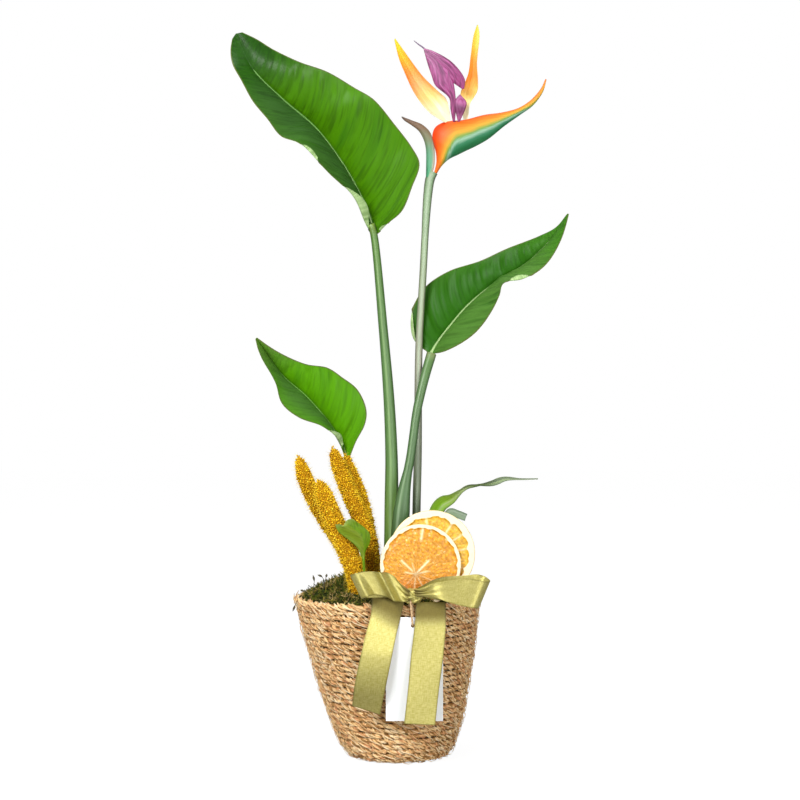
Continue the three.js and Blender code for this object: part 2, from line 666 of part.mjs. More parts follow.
const bow = group(
  piece('ribbon_knot', carve(knot(), basketCutter()), finishes.ribbon),
  piece('ribbon_loop_left', loopLeft(), finishes.ribbon),
  piece('ribbon_loop_right', loopRight(), finishes.ribbon),
  piece('ribbon_tail_left', tailLeft(), finishes.ribbon),
  piece('ribbon_tail_right', tailRight(), finishes.ribbon),
  piece('tag_twine', twine(), finishes.twine),
  giftTag,
);

export default group(holder, plant, trimmings, bow);
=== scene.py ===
"""Looks of a potted bird of paradise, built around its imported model.

Each piece is drawn in millimetres, then seated in the box of the CAD node that it stands
for, so that its place and size come from the frame.
"""

import logging
from dataclasses import dataclass, field
from enum import Enum
from functools import partial
from math import exp, pi, radians
from typing import Any, Callable, Sequence

import bmesh
import bpy
import numpy as np
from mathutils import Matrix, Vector
from numpy import cos, sin


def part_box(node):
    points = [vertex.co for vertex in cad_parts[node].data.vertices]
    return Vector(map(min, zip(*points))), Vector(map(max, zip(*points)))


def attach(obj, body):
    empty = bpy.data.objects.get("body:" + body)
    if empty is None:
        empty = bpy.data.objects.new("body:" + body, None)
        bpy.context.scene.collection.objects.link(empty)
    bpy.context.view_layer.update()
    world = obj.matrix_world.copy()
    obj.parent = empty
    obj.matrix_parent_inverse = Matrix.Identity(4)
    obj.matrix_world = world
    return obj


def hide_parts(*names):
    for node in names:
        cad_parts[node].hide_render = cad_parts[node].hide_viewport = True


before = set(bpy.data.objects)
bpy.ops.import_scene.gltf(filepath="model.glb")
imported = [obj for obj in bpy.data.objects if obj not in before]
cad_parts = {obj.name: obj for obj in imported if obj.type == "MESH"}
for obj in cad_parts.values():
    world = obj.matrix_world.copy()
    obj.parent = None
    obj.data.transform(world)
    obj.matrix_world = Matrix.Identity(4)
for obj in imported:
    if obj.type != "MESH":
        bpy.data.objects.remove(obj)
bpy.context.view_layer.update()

log = logging.getLogger("potted_plant")

MM = 0.001
BODY = "root"
WHITE = "#ffffff"

Array = np.ndarray
Points = Sequence[Sequence[float]]
Spot = tuple[float, float, float]
Pair = tuple[float, float]
Row = Sequence[float]
Ramp = tuple[tuple[float, str], ...]
Measures = dict[str, Any]
Thing = bpy.types.Object
Node = bpy.types.Node
Add = Callable[..., Node]
Seat = Callable[[Array], Array]

# The nodes used most, and how they are set.
NOISE, RAMP, RANGE = "TexNoise", "ValToRGB", "MapRange"
MATH, MIX, ROW = "ShaderNodeMath", "Mix", "CombineXYZ"
OVER = {"data_type": "RGBA"}
TINT = {"data_type": "RGBA", "blend_type": "MULTIPLY"}
SOFT = {"interpolation_type": "SMOOTHSTEP"}
TIMES = {"operation": "MULTIPLY"}


# ---- small tools ----


def linear(hex_colour: str) -> tuple[float, ...]:
    """Turn an sRGB hex colour into linear red, green, blue and an alpha of 1."""
    shares = (int(hex_colour[i:i + 2], 16) / 255 for i in (1, 3, 5))
    return *(s / 12.92 if s <= 0.04045 else ((s + 0.055) / 1.055) ** 2.4 for s in shares), 1


def add_node(tree: bpy.types.NodeTree, kind: str, inputs: dict | Sequence = (), **settings: Any) -> Node:
    """Add one node to a tree, with its settings and what goes into it.

    Args:
        tree: a shader's tree or a Geometry Nodes tree.
        kind: the node's type, without the tree's own at its start.
        inputs: what goes in, in order or by name or number: a value, a hex colour, one of
            the piece's measures by name, a socket, or a node for its first output.
        settings: its properties, and "ramp" for a colour ramp's stops.

    Returns:
        The new node.
    """
    node = tree.nodes.new(kind if "Node" in kind else tree.bl_idname[:-len("Tree")] + kind)
    ramp = settings.pop("ramp", ())
    for name, value in settings.items():
        setattr(node, name, value)
    if ramp:
        stops = node.color_ramp.elements
        for _ in ramp[len(stops):]:
            stops.new(1)
        for stop, (place, colour) in zip(stops, ramp):
            stop.position, stop.color = place, linear(colour)
    for name, value in inputs.items() if isinstance(inputs, dict) else enumerate(inputs):
        socket = node.inputs[name]
        if isinstance(value, str) and value.startswith("#"):
            value = linear(value)
        elif isinstance(value, str) and socket.type != "STRING":
            value = add_node(tree, "ShaderNodeAttribute", attribute_name=value).outputs["Fac"]
        if isinstance(value, Node):
            value = next(output for output in value.outputs if output.enabled)
        if isinstance(value, bpy.types.NodeSocket):
            tree.links.new(value, socket)
        else:
            socket.default_value = value
    return node


def ease(value: Array | float, start: float, end: float) -> Array | float:
    """Go smoothly from 0 at start to 1 at end, whichever is the greater."""
    share = np.clip((value - start) / (end - start), 0, 1)
    return share * share * (3 - 2 * share)


def bump(value: Array | float, middle: float, spread: float) -> Array | float:
    """A smooth hump of height 1, about twice as wide as spread."""
    return np.exp(-(((value - middle) / spread) ** 2))


def along(values: Sequence[float], places: Array) -> Array:
    """Read values that run evenly through a list, from its first at 0 to its last at 1."""
    return np.interp(places, np.linspace(0, 1, len(values)), values)


def around(count: int) -> Array:
    """Angles that share out a whole turn evenly."""
    return np.linspace(0, 2 * pi, count, endpoint=False)


def from_to(count: int) -> Array:
    """Shares from 0 to 1, one to each row of a grid."""
    return np.linspace(0, 1, count)[:, None]


def walked(line: Array) -> Array:
    """How far it is along a line to each of its points."""
    return np.insert(np.cumsum(np.linalg.norm(np.diff(line, axis=0), axis=1)), 0, 0)


def turn_off(turn: Array, angle: float) -> Array:
    """How far each turn is past an angle, from minus to plus half a turn."""
    return np.angle(np.exp(1j * (turn - angle)))


def between(start: Array, end: Array, share: Array) -> tuple[Array, Array]:
    """Rows of points that lead from one line across to another, and the rows' lengths."""
    across = (end - start)[:, None]
    return start[:, None] + across * share[:, None], np.linalg.norm(across, axis=2)


def unit(vectors: Array) -> Array:
    """Scale each vector to length 1."""
    return vectors / np.maximum(np.linalg.norm(vectors, axis=-1, keepdims=True), 1e-12)


def curve(points: Points, count: int, even: bool = True) -> Array:
    """Lay points along the smooth curve through a few given ones.

    Args:
        points: what the curve passes through.
        count: how many points to lay.
        even: spaced evenly, or else as many between each given point and the next.

    Returns:
        The points, one to a row.
    """
    given = np.asarray(points, float)
    ends = np.vstack([2 * given[0] - given[1], given, 2 * given[-1] - given[-2]])
    last = len(given) - 1

    def at(place: Array) -> Array:
        """Points of the centripetal Catmull-Rom curve at numbered places."""
        span = np.clip(place.astype(int), 0, last - 1)
        share = (place - span)[:, None]
        p0, p1, p2, p3 = (ends[span + i] for i in range(4))
        before, here, after = (
            np.sqrt(np.linalg.norm(b - a, axis=1, keepdims=True))
            for a, b in ((p0, p1), (p1, p2), (p2, p3))
        )
        leave = ((p1 - p0) / before - (p2 - p0) / (before + here) + (p2 - p1) / here) * here
        arrive = ((p2 - p1) / here - (p3 - p1) / (here + after) + (p3 - p2) / after) * here
        return (
            p1 + leave * share + (3 * (p2 - p1) - 2 * leave - arrive) * share ** 2
            + (2 * (p1 - p2) + leave + arrive) * share ** 3
        )

    if not even:
        return at(np.linspace(0, last, count))
    fine = np.linspace(0, last, last * 40 + 1)
    length = walked(at(fine))
    return at(np.interp(np.linspace(0, length[-1], count), length, fine))


def seated(node: str, drawn: Array) -> Seat:
    """Fit a drawing's box, in millimetres, to a CAD node's box, axis by axis.

    Args:
        node: the CAD node that the piece stands for.
        drawn: the points of the drawing.

    Returns:
        What carries the drawing's points to their place, in metres.
    """
    low, high = (np.array(corner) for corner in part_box(node))
    drawn = drawn.reshape(-1, 3)
    start = drawn.min(0)
    scale = (high - low) / np.maximum(drawn.max(0) - start, 1e-9)
    return lambda points: (points - start) * scale + low


@dataclass
class Shell:
    """A mesh in the making: corners, faces, and measures at each corner."""

    corners: Array
    faces: list[list[int]]
    measures: Measures = field(default_factory=dict)
    coats: list[int] = field(default_factory=list)  # which finish each face wears
    closed: bool = False  # whether its faces can be turned outwards

    @classmethod
    def tube(cls, rings: Array, measures: Measures | None = None, coat: int = 0) -> "Shell":
        """Close rings of points, with a cap on the first and the last.

        Args:
            rings: rows, columns and x, y, z.
            measures: named arrays of rows and columns, or of either.
            coat: which of the piece's finishes it wears.

        Returns:
            The shell.
        """
        rows, columns = rings.shape[:2]
        number = np.arange(rows * columns).reshape(rows, columns)
        number = np.hstack([number, number[:, :1]])
        corners = [number[:-1, :-1], number[1:, :-1], number[1:, 1:], number[:-1, 1:]]
        faces = np.stack(corners, -1).reshape(-1, 4).tolist()
        faces += [number[0, :-1].tolist(), number[-1, :-1][::-1].tolist()]
        spread = {
            name: np.broadcast_to(v, (rows, columns)).ravel() for name, v in (measures or {}).items()
        }
        return cls(rings.reshape(-1, 3), faces, spread, [coat] * len(faces), True)

    @classmethod
    def slab(cls, front: Array, back: Array, measures: Measures, back_coat: int = 0) -> "Shell":
        """Close the front and the back of a sheet into one shell.

        Args:
            front: rows, columns and x, y, z.
            back: the same, behind it.
            measures: named arrays of rows and columns, or of either.
            back_coat: which of the piece's finishes the back wears.

        Returns:
            The shell.
        """
        rows, columns = front.shape[:2]
        spread = {name: np.broadcast_to(v, (rows, columns)) for name, v in measures.items()}
        shell = cls.tube(
            np.concatenate([front, back[:, ::-1]], axis=1),
            {name: np.hstack([v, v[:, ::-1]]) for name, v in spread.items()},
        )
        shell.coats = ([0] * columns + [back_coat] * columns) * (rows - 1) + [0, 0]
        return shell


def put(name: str, data: Any) -> Thing:
    """Put a mesh, a light or a camera in the scene."""
    thing = bpy.data.objects.new(name, data)
    bpy.context.scene.collection.objects.link(thing)
    return thing


def make_piece(name: str, shells: Sequence[Shell], *finishes: "Finish") -> Thing:
    """Join shells into one object and dress it.

    Args:
        name: the object's name.
        shells: the shells, in metres.
        finishes: the finishes that their coats number.

    Returns:
        The object, with the measures as attributes.
    """
    faces: list[list[int]] = []
    coats: list[int] = []
    start = 0
    for shell in shells:
        faces += [[corner + start for corner in face] for face in shell.faces]
        coats += shell.coats or [0] * len(shell.faces)
        start += len(shell.corners)
    mesh = bpy.data.meshes.new(name)
    mesh.from_pydata(np.vstack([shell.corners for shell in shells]).tolist(), [], faces)
    for measure in sorted({key for shell in shells for key in shell.measures}):
        values = np.concatenate([shell.measures.get(measure, 0 * shell.corners[:, 0]) for shell in shells])
        mesh.attributes.new(measure, "FLOAT", "POINT").data.foreach_set("value", values)
    mesh.polygons.foreach_set("material_index", coats)
    if all(shell.closed for shell in shells):
        work = bmesh.new()
        work.from_mesh(mesh)
        bmesh.ops.recalc_face_normals(work, faces=work.faces)
        work.to_mesh(mesh)
        work.free()
    mesh.shade_smooth()
    for finish in finishes:
        mesh.materials.append(finish.material())
    return put(name, mesh)


def keep(piece: Thing, node: str) -> Thing:
    """Fasten a finished piece to the frame and report it.

    Args:
        piece: the finished piece.
        node: the CAD node that it stands for.

    Returns:
        The same piece.
    """
    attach(piece, BODY)
    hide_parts(node)
    log.info("%-22s %7d faces, for %s", piece.name, len(piece.data.polygons), node)
    return piece


def show(node: str, kind: str, shells: Sequence[Shell], *finishes: "Finish") -> Thing:
    """Make a piece that stands for a node and is named for it, and keep it."""
    return keep(make_piece(f"{node}_{kind}", shells, *finishes), node)


def dress(node: str, finish: "Finish") -> None:
    """Give a CAD node that is shown as it is a finish of its own."""
    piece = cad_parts[node]
    piece.data.materials.clear()
    piece.data.materials.append(finish.material())
    log.info("%-22s is shown as it is, in %s", node, finish.name)


def sweep(
    line: Array, widths: Array, depths: Array, sides: int,
    section: Callable[[Array, Array], Array] | None = None, toward: Row = (0, 1, 0),
) -> Array:
    """Sweep an oval along a line.

    Args:
        line: the centre line's points.
        widths: half its width at each point.
        depths: half its depth at each point.
        sides: corners in each ring.
        section: how far out a corner is, from its place along (0 to 1) and its angle,
            which is 0 at the right and a quarter turn at the back.
        toward: the way that a quarter turn faces, which the line never follows.

    Returns:
        The rings.
    """
    tangent = unit(np.gradient(line, axis=0))
    depth_way = unit(toward - tangent * (tangent @ np.array(toward, float))[:, None])
    width_way = np.cross(depth_way, tangent)
    angles = around(sides)
    reach = section(from_to(len(line)), angles[None]) if section else np.ones((len(line), sides))
    across = (reach * cos(angles) * widths[:, None])[..., None] * width_way[:, None]
    deep = (reach * sin(angles) * depths[:, None])[..., None] * depth_way[:, None]
    return line[:, None] + across + deep


class Recipe:
    """A Geometry Nodes tree, given its sizes once and baked to a plain mesh."""

    def __init__(self, name: str, sizes: Measures) -> None:
        """Start the tree with geometry coming in and one named input for each size.

        Args:
            name: the tree's name.
            sizes: what each input gets; a shell becomes an object until the tree is baked.
        """
        self.tree = bpy.data.node_groups.new(name, "GeometryNodeTree")
        self.add = partial(add_node, self.tree)
        self.values: Measures = {}
        self.shapes: list[Thing] = []
        sockets = self.tree.interface
        for way in ("INPUT", "OUTPUT"):
            sockets.new_socket("Geometry", in_out=way, socket_type="NodeSocketGeometry")
        for size, value in sizes.items():
            kind = type(value).__name__.title()
            if isinstance(value, Shell):
                value, kind = make_piece(size, [value]), "Object"
                self.shapes.append(value)
            socket = sockets.new_socket(size, in_out="INPUT", socket_type=f"NodeSocket{kind}")
            self.values[socket.identifier] = value
        self.inputs = self.add("NodeGroupInput").outputs

    def dressed(self, geometry: Any, finish: str) -> Node:
        """Make a branch real and dress it in the finish of a named input."""
        real = self.add("RealizeInstances", {"Geometry": geometry})
        return self.add("SetMaterial", {"Geometry": real, "Material": self.inputs[finish]})

    def attribute(self, name: str, kind: str = "FLOAT") -> Node:
        """Read a measure of the geometry that comes in."""
        return self.add("InputNamedAttribute", {"Name": name}, data_type=kind)

    def scatter(
        self, points: Any, rotation: Any, shape: str, least: Spot, most: Spot, sizes: Pair,
        tones: Pair, seed: int, factor: Any = 1,
    ) -> Node:
        """Set a shape on points, each turned, sized and toned a little differently.

        Args:
            points: the points, or a curve that has them.
            rotation: how each point is turned.
            shape: the named input that holds the shape.
            least: the least turn about the point's own X, Y and Z.
            most: the most.
            sizes: the least and most size.
            tones: the least and most tone.
            seed: for everything random.
            factor: what the sizes are multiplied by.

        Returns:
            The branch, real and dressed in the input called Finish.
        """
        add, random = self.add, "FunctionNodeRandomValue"
        spin = add(random, {0: least, 1: most, "Seed": seed}, data_type="FLOAT_VECTOR")
        turned = add("FunctionNodeRotateRotation", (rotation, spin), rotation_space="LOCAL")
        size, tone = (
            add(random, {2: low, 3: high, "Seed": seed + step}, data_type="FLOAT")
            for step, (low, high) in ((1, sizes), (2, tones))
        )
        info = add("ObjectInfo", (self.inputs[shape],))
        placed = add("InstanceOnPoints", {
            "Points": points, "Rotation": turned, "Instance": info.outputs["Geometry"],
            "Scale": add(MATH, (size, factor), **TIMES),
        })
        toned = add("StoreNamedAttribute", {
            "Geometry": placed, "Name": "tone", "Value": tone,
        }, data_type="FLOAT", domain="INSTANCE")
        return self.dressed(toned, "Finish")

    def bake(self, base: Thing, name: str, branches: Sequence[Node]) -> Thing:
        """Run the tree on an object and keep what comes out as a plain mesh.

        Args:
            base: the object that the tree grows on; it is used up.
            name: the new object's name.
            branches: the nodes whose geometry goes out.

        Returns:
            The new object.
        """
        joined = self.add("JoinGeometry")
        for branch in branches:
            self.tree.links.new(branch.outputs[0], joined.inputs[0])
        self.add("NodeGroupOutput", (joined,))
        modifier = base.modifiers.new(self.tree.name, "NODES")
        modifier.node_group = self.tree
        for identifier, value in self.values.items():
            modifier[identifier] = value
        grown = base.evaluated_get(bpy.context.evaluated_depsgraph_get())
        mesh = bpy.data.meshes.new_from_object(grown)
        mesh.name = name
        for used in (base, *self.shapes):
            bpy.data.objects.remove(used)
        return put(name, mesh)


# ---- finishes ----


def per_mm(size: float) -> float:
    """The scale at which a pattern in metres has details of a size in millimetres."""
    return 1 / (size * MM)


def laid(add: Add, measures: Sequence[Any], stretch: Spot) -> bpy.types.Node:
    """Lay a pattern out by three of the piece's measures, each one stretched."""
    return add("Mapping", {"Vector": add(ROW, measures), "Scale": stretch})


def spaced(tones: Sequence[str], start: float) -> Ramp:
    """Space tones evenly over a ramp, from its start to as far from its end."""
    return *zip(np.linspace(start, 1 - start, len(tones)), tones),


@dataclass(frozen=True)
class Finish:
    """A finish: what a surface is made of and how it was made."""

    name: str
    slot: str
    roughness: float = 0.5
    specular: float = 0.5
    relief: float = 0.5  # of its grain, as a share
    depth: float = 0.12  # of its grain, in millimetres

    def material(self) -> bpy.types.Material:
        """Build the material from its nodes, once.

        Returns:
            The material.
        """
        found = bpy.data.materials.get(self.name)
        if found:
            return found
        material = bpy.data.materials.new(self.name)
        material.use_nodes = True
        material.node_tree.nodes.clear()
        add = partial(add_node, material.node_tree)
        fed = self.pattern(add)
        for share, over, way in fed.pop("Over", ()):
            fed["Base Color"] = add(MIX, {0: share, 6: fed["Base Color"], 7: over}, **way)
        if "Height" in fed:
            fed["Normal"] = add("Bump", {
                "Strength": self.relief, "Distance": self.depth * MM, "Height": fed.pop("Height"),
            })
        fed = {"Roughness": self.roughness, "Specular IOR Level": self.specular, **fed}
        add("OutputMaterial", (add("BsdfPrincipled", fed),))
        return material

    def pattern(self, add: Add) -> Measures:
        """Add the finish's own nodes.

        Returns:
            What goes into the surface's inputs; its relief, as "Height"; and "Over", which is
            each colour laid over the base one: how much of it, the colour and the way.
        """
        raise NotImplementedError


@dataclass(frozen=True)
class SeagrassStrand(Finish):
    """Twisted seagrass, dried in the sun: matt and fibrous, each strand its own colour."""

    tones: tuple[str, ...] = ("#d69b6c", "#e3b077", "#efc289", "#f5ce95", "#f9d79d", "#f9dfb4")
    # Painted shade: each strand is painted darker towards its sides, where it meets the next.
    dirt: str = "#9a7040"
    relief: float = 0.9
    depth: float = 0.5

    def pattern(self, add: Add) -> Measures:
        """A colour for each strand, fibres along it, and painted shade where it meets the next."""
        fibre = add(NOISE, {
            "Vector": laid(add, ("length", "side", "tone"), (0.1, 1, 1)),
            "Scale": per_mm(0.9), "Detail": 4, "Roughness": 0.65,
        })
        place = add("TexCoord").outputs["Object"]
        patch = add(NOISE, {"Vector": place, "Scale": per_mm(16), "Detail": 2})
        drifted = add(MATH, (patch, 0.9, -0.45), operation="MULTIPLY_ADD")
        picked = add(MATH, ("tone", drifted), operation="ADD")
        base = add(RAMP, (picked,), ramp=spaced(self.tones, 0.1))
        return {"Base Color": base, "Height": fibre, "Over": (
            (1, add(RANGE, (fibre, 0.3, 0.7, 0.72, 1.12)), TINT),
            # The strand's sides are painted darker, painted shade between strands.
            (add(RANGE, ("edge", 0.6, 1, 0, 0.6), **SOFT), self.dirt, OVER),
        )}


@dataclass(frozen=True)
class GrainFinish(Finish):
    """An even material that shows only its grain, such as soil or card."""

    low: str = "#2b1d14"
    high: str = "#4a3526"
    grain: float = 1.5  # millimetres
    relief: float = 0.8
    depth: float = 0.4

    def pattern(self, add: Add) -> Measures:
        """Two tones that change over with the grain, and relief to match."""
        grain = add(NOISE, {
            "Vector": add("TexCoord").outputs["Object"],
            "Scale": per_mm(self.grain), "Detail": 5, "Roughness": 0.65,
        })
        colour = add(RAMP, (grain,), ramp=[(0.35, self.low), (0.65, self.high)])
        return {"Base Color": colour, "Height": grain}


@dataclass(frozen=True)
class ToneFinish(Finish):
    """Many small things of one kind, each with a tone of its own."""

    tones: tuple[str, ...] = ()
    patch: float = 12  # millimetres

    def pattern(self, add: Add) -> Measures:
        """Each one's own tone, pushed lighter or darker by its patch."""
        place = add("TexCoord").outputs["Object"]
        patch = add(NOISE, {"Vector": place, "Scale": per_mm(self.patch), "Detail": 2})
        drift = add(RANGE, (patch, 0.3, 0.7, -0.25, 0.25))
        tone = add(MATH, ("tone", drift), operation="ADD", use_clamp=True)
        return {"Base Color": add(RAMP, (tone,), ramp=spaced(self.tones, 0.04))}


@dataclass(frozen=True)
class LeafFace(Finish):
    """Upper side of a leaf: waxy skin over close, parallel side veins."""

    # The two halves' colours are painted light: one half is painted as lit, the other as turned away from
    # the light.
    sunny: str = "#4f8e10"
    dull: str = "#3c6630"
    # Painted shade in broad bands along the side veins, where the leaf's furrows would be shaded.
    furrow: str = "#2c5a0e"
    rib: str = "#6c9850"
    tip: str = "#386a22"
    margin: str = "#56642a"
    wax: float = 0  # how shiny the right half, painted as lit, is towards its tip
    margin_glow: float = 0.25  # how much of the painted lit colour the other half takes along its margin, painted light
    vein_shade: float = 0.74  # how dark the side veins are
    depth: float = 0.25

    def pattern(self, add: Add) -> Measures:
        """The two halves, painted lit and unlit, their veins, bands of painted furrow shade, the pale
        midrib and the dry margin.
        """
        lie = laid(add, ("vein", "rib", "side"), (1, 0.05, 4 * MM))
        veins = add(NOISE, {"Vector": lie, "Scale": per_mm(2.1), "Detail": 1})
        folds = add(NOISE, {"Vector": lie, "Scale": per_mm(7), "Detail": 3, "Roughness": 0.6})
        right = add(RANGE, ("side", -0.03, 0.03))
        # The right half, and the other half near its margin, are painted as lit: painted light.
        outer = add(RANGE, ("side", -0.45, -1.1, 0, self.margin_glow), **SOFT)
        painted_lit_mask = add(MATH, (right, outer), operation="MAXIMUM")
        line = add(RANGE, (veins, 0.34, 0.52, self.vein_shade, 1.03))
        waxed = add(RANGE, ("place", 0.6, 0.9, 0, self.wax), **SOFT)
        coat = add(MATH, (waxed, right), **TIMES)
        shine = {"Coat Weight": coat, "Coat Roughness": 0.25}
        return {"Base Color": self.dull, "Height": veins, **shine, "Over": (
            (painted_lit_mask, self.sunny, OVER), (add(RANGE, ("place", 0.66, 0.9), **SOFT), self.tip, OVER),
            # Bands of painted furrow shade.
            (add(RANGE, (folds, 0.46, 0.28, 0, 0.7)), self.furrow, OVER), (1, line, TINT),
            (add(RANGE, ("rib_share", 1, 0.45), **SOFT), self.rib, OVER),
            (add(RANGE, ("margin", 0.9 * MM, 0.3 * MM)), self.margin, OVER),
        )}


@dataclass(frozen=True)
class LeafBack(Finish):
    """Under side of a leaf: pale, bloomed and matt, with raised veins."""

    pale: str = "#a9c487"
    deep: str = "#7fa05f"
    depth: float = 0.3

    def pattern(self, add: Add) -> Measures:
        """Close veins, pale on a slightly darker ground."""
        veins = add(NOISE, {
            "Vector": laid(add, ("vein", "rib", "side"), (1, 0.05, 1)), "Scale": per_mm(1.5), "Detail": 2,
        })
        colour = add(RAMP, (veins,), ramp=[(0.35, self.deep), (0.62, self.pale)])
        return {"Base Color": colour, "Height": veins}


@dataclass(frozen=True)
class FibreSkin(Finish):
    """Skin of a stalk or of grass: colours that follow its length, over fibres."""

    lengthwise: Ramp = ((0, "#8fae60"), (1, "#86a97c"))
    # The pale band down the piece is a painted highlight, and the edge colour on its sides is painted
    # shade.
    stripe: str = "#c3dab0"
    stripe_at: float = -0.2  # from -1 at the left to 1
    stripe_width: float = 0.35
    edge: str = "#4c6a45"
    edge_share: float = 0.6
    fibre: float = 0.7  # millimetres between fibres

    def pattern(self, add: Add) -> Measures:
        """A ramp along the piece, a pale band of painted highlight, painted shade on its sides and fine
        fibres.
        """
        fibres = add(NOISE, {
            "Vector": laid(add, ("across", "deep", "along"), (1, 1, 0.04)),
            "Scale": per_mm(self.fibre), "Detail": 2,
        })
        off_highlight = add(MATH, ("turn", self.stripe_at), operation="SUBTRACT")
        away = add(MATH, (off_highlight,), operation="ABSOLUTE")
        out = add(MATH, ("turn",), operation="ABSOLUTE")
        colour = add(RAMP, ("share",), ramp=self.lengthwise)
        return {"Base Color": colour, "Height": fibres, "Over": (
            # A painted highlight down the piece, then painted shade on its sides.
            (add(RANGE, (away, self.stripe_width, 0, 0, 0.75), **SOFT), self.stripe, OVER),
            (add(RANGE, (out, 0.55, 1, 0, self.edge_share), **SOFT), self.edge, OVER),
            (1, add(RANGE, (fibres, 0.3, 0.7, 0.82, 1.1)), TINT),
        )}


@dataclass(frozen=True)
class BloomSkin(Finish):
    """Skin of the flower: one colour runs into the next, with fine streaks."""

    ramp: Ramp = ()
    rim: str = "#e8401a"
    rim_share: float = 0.8
    streak: float = 0.9  # millimetres between streaks
    lines: float = 0.06  # how dark they are
    glow: float = 0  # how much light gets a little way in
    relief: float = 0.3

    def pattern(self, add: Add) -> Measures:
        """The bloom measure through a ramp, blurred by streaks, and a rim."""
        streaks = add(NOISE, {
            "Vector": laid(add, ("along", "across", "deep"), (0.06, 1, 1)),
            "Scale": per_mm(self.streak), "Detail": 2,
        })
        push = add(RANGE, (streaks, 0.25, 0.75, -0.035, 0.035))
        bloom = add(MATH, ("bloom", push), operation="ADD", use_clamp=True)
        line = add(RANGE, (streaks, 0.35, 0.65, 1 - self.lines, 1 + self.lines / 2))
        glow = {"Subsurface Weight": self.glow, "Subsurface Scale": 1.5 * MM}
        return {"Base Color": add(RAMP, (bloom,), ramp=self.ramp), "Height": streaks, **glow, "Over": (
            (add(MATH, ("rim", self.rim_share), **TIMES), self.rim, OVER), (1, line, TINT),
        )}


@dataclass(frozen=True)
class CitrusFlesh(Finish):
    """Dried orange: glassy juice sacs between pale skins, inside cream pith."""

    sac: str = "#e69c16"
    sac_deep: str = "#c67408"
    sac_light: str = "#fadf98"
    skin: str = "#fbe6b4"
    pith: str = "#f2e4c0"
    peel: str = "#ecc98c"
    damp: str = "#e09430"  # the pulp is this much darker towards the bottom of the slice
    relief: float = 0.6
    depth: float = 0.5

    def pattern(self, add: Add) -> Measures:
        """Cells stretched from the core, each painted lighter at its middle and darker at its edges, skins
        between, then pith and peel.
        """
        lie = laid(add, ("reach", "swing", 0), (0.45, 1, 1))
        sacs = add("TexVoronoi", {"Vector": lie, "Scale": per_mm(1.3)})
        # The sacs' middles are painted lighter, a painted glint, and their edges darker, painted shade
        # between sacs.
        sac_relief_and_painted_glint = add(RANGE, (sacs, 0.15, 0.7, 1.15, 0.72))
        mottle = add(NOISE, {"Vector": lie, "Scale": per_mm(2.2), "Detail": 4, "Roughness": 0.7})
        colour = add(RAMP, (mottle,), ramp=[
            (0.3, self.sac_deep), (0.48, self.sac), (0.58, self.sac), (0.68, self.sac_light),
        ])
        return {"Base Color": colour, "Height": sac_relief_and_painted_glint, "Over": (
            (1, sac_relief_and_painted_glint, TINT), ("damp", self.damp, TINT), ("skin", self.skin, OVER),
            ("pith", self.pith, OVER), ("peel", self.peel, OVER),
        )}


@dataclass(frozen=True)
class Satin(Finish):
    """Polyester satin ribbon: long floats that shine, crossed by a faint weft."""

    light: str = "#d0c77c"
    dark: str = "#b4a950"
    crushed: str = "#8c8236"  # painted shade near the knot and in the ribbon's creases
    hem: str = "#8f8636"
    index: float = 1.7  # of refraction
    drawn_out: float = 0.85  # how far the shine spreads across the floats
    thread: float = 0.5  # millimetres; a real one is too fine to show, so it is coarser
    relief: float = 0.25
    depth: float = 0.1

    def pattern(self, add: Add) -> Measures:
        """Fine warp lines along the ribbon over a weft across it, with painted shade where the knot
        crushes it.
        """
        floats, picks = (add(NOISE, {
            "Vector": laid(add, ("across", "along", 0), stretch),
            "Scale": per_mm(self.thread), "Detail": 2,
        }) for stretch in ((1, 0.12, 1), (0.12, 1, 1)))
        cloth = add(MIX, {0: 0.5, 2: floats, 3: picks}, data_type="FLOAT")
        colour = add(RAMP, (cloth,), ramp=[(0.38, self.dark), (0.6, self.light)])
        # The floats mirror light in their own colour, as a metal does, until the knot crushes them.
        return {
            "Base Color": colour, "Height": cloth, "IOR": self.index, "Anisotropic": self.drawn_out,
            # Near the knot and in the creases the colour is painted darker, painted shade, and the cloth
            # turns matt.
            "Over": (("pressed", self.crushed, TINT), ("hem", self.hem, TINT)),
            "Metallic": add(RANGE, ("pressed", 0, 1, 0.6, 0)),
            "Roughness": add(RANGE, ("pressed", 0, 1, self.roughness, 0.95)),
            "Tangent": add(ROW, [f"weft_{axis}" for axis in "xyz"]),
        }


@dataclass(frozen=True)
class StageWhite(Finish):
    """Seamless white paper, lit so that it reads as plain white."""

    def pattern(self, add: Add) -> Measures:
        """White that throws light up, and that the camera sees with no horizon."""
        seen = add("LightPath").outputs["Is Camera Ray"]
        return {
            "Base Color": add(MIX, {0: seen, 6: "#a4a4a4", 7: "#606060"}, **OVER),
            "Emission Color": WHITE, "Emission Strength": add(MATH, (seen, 0.94), **TIMES),
        }


# ---- studio ----


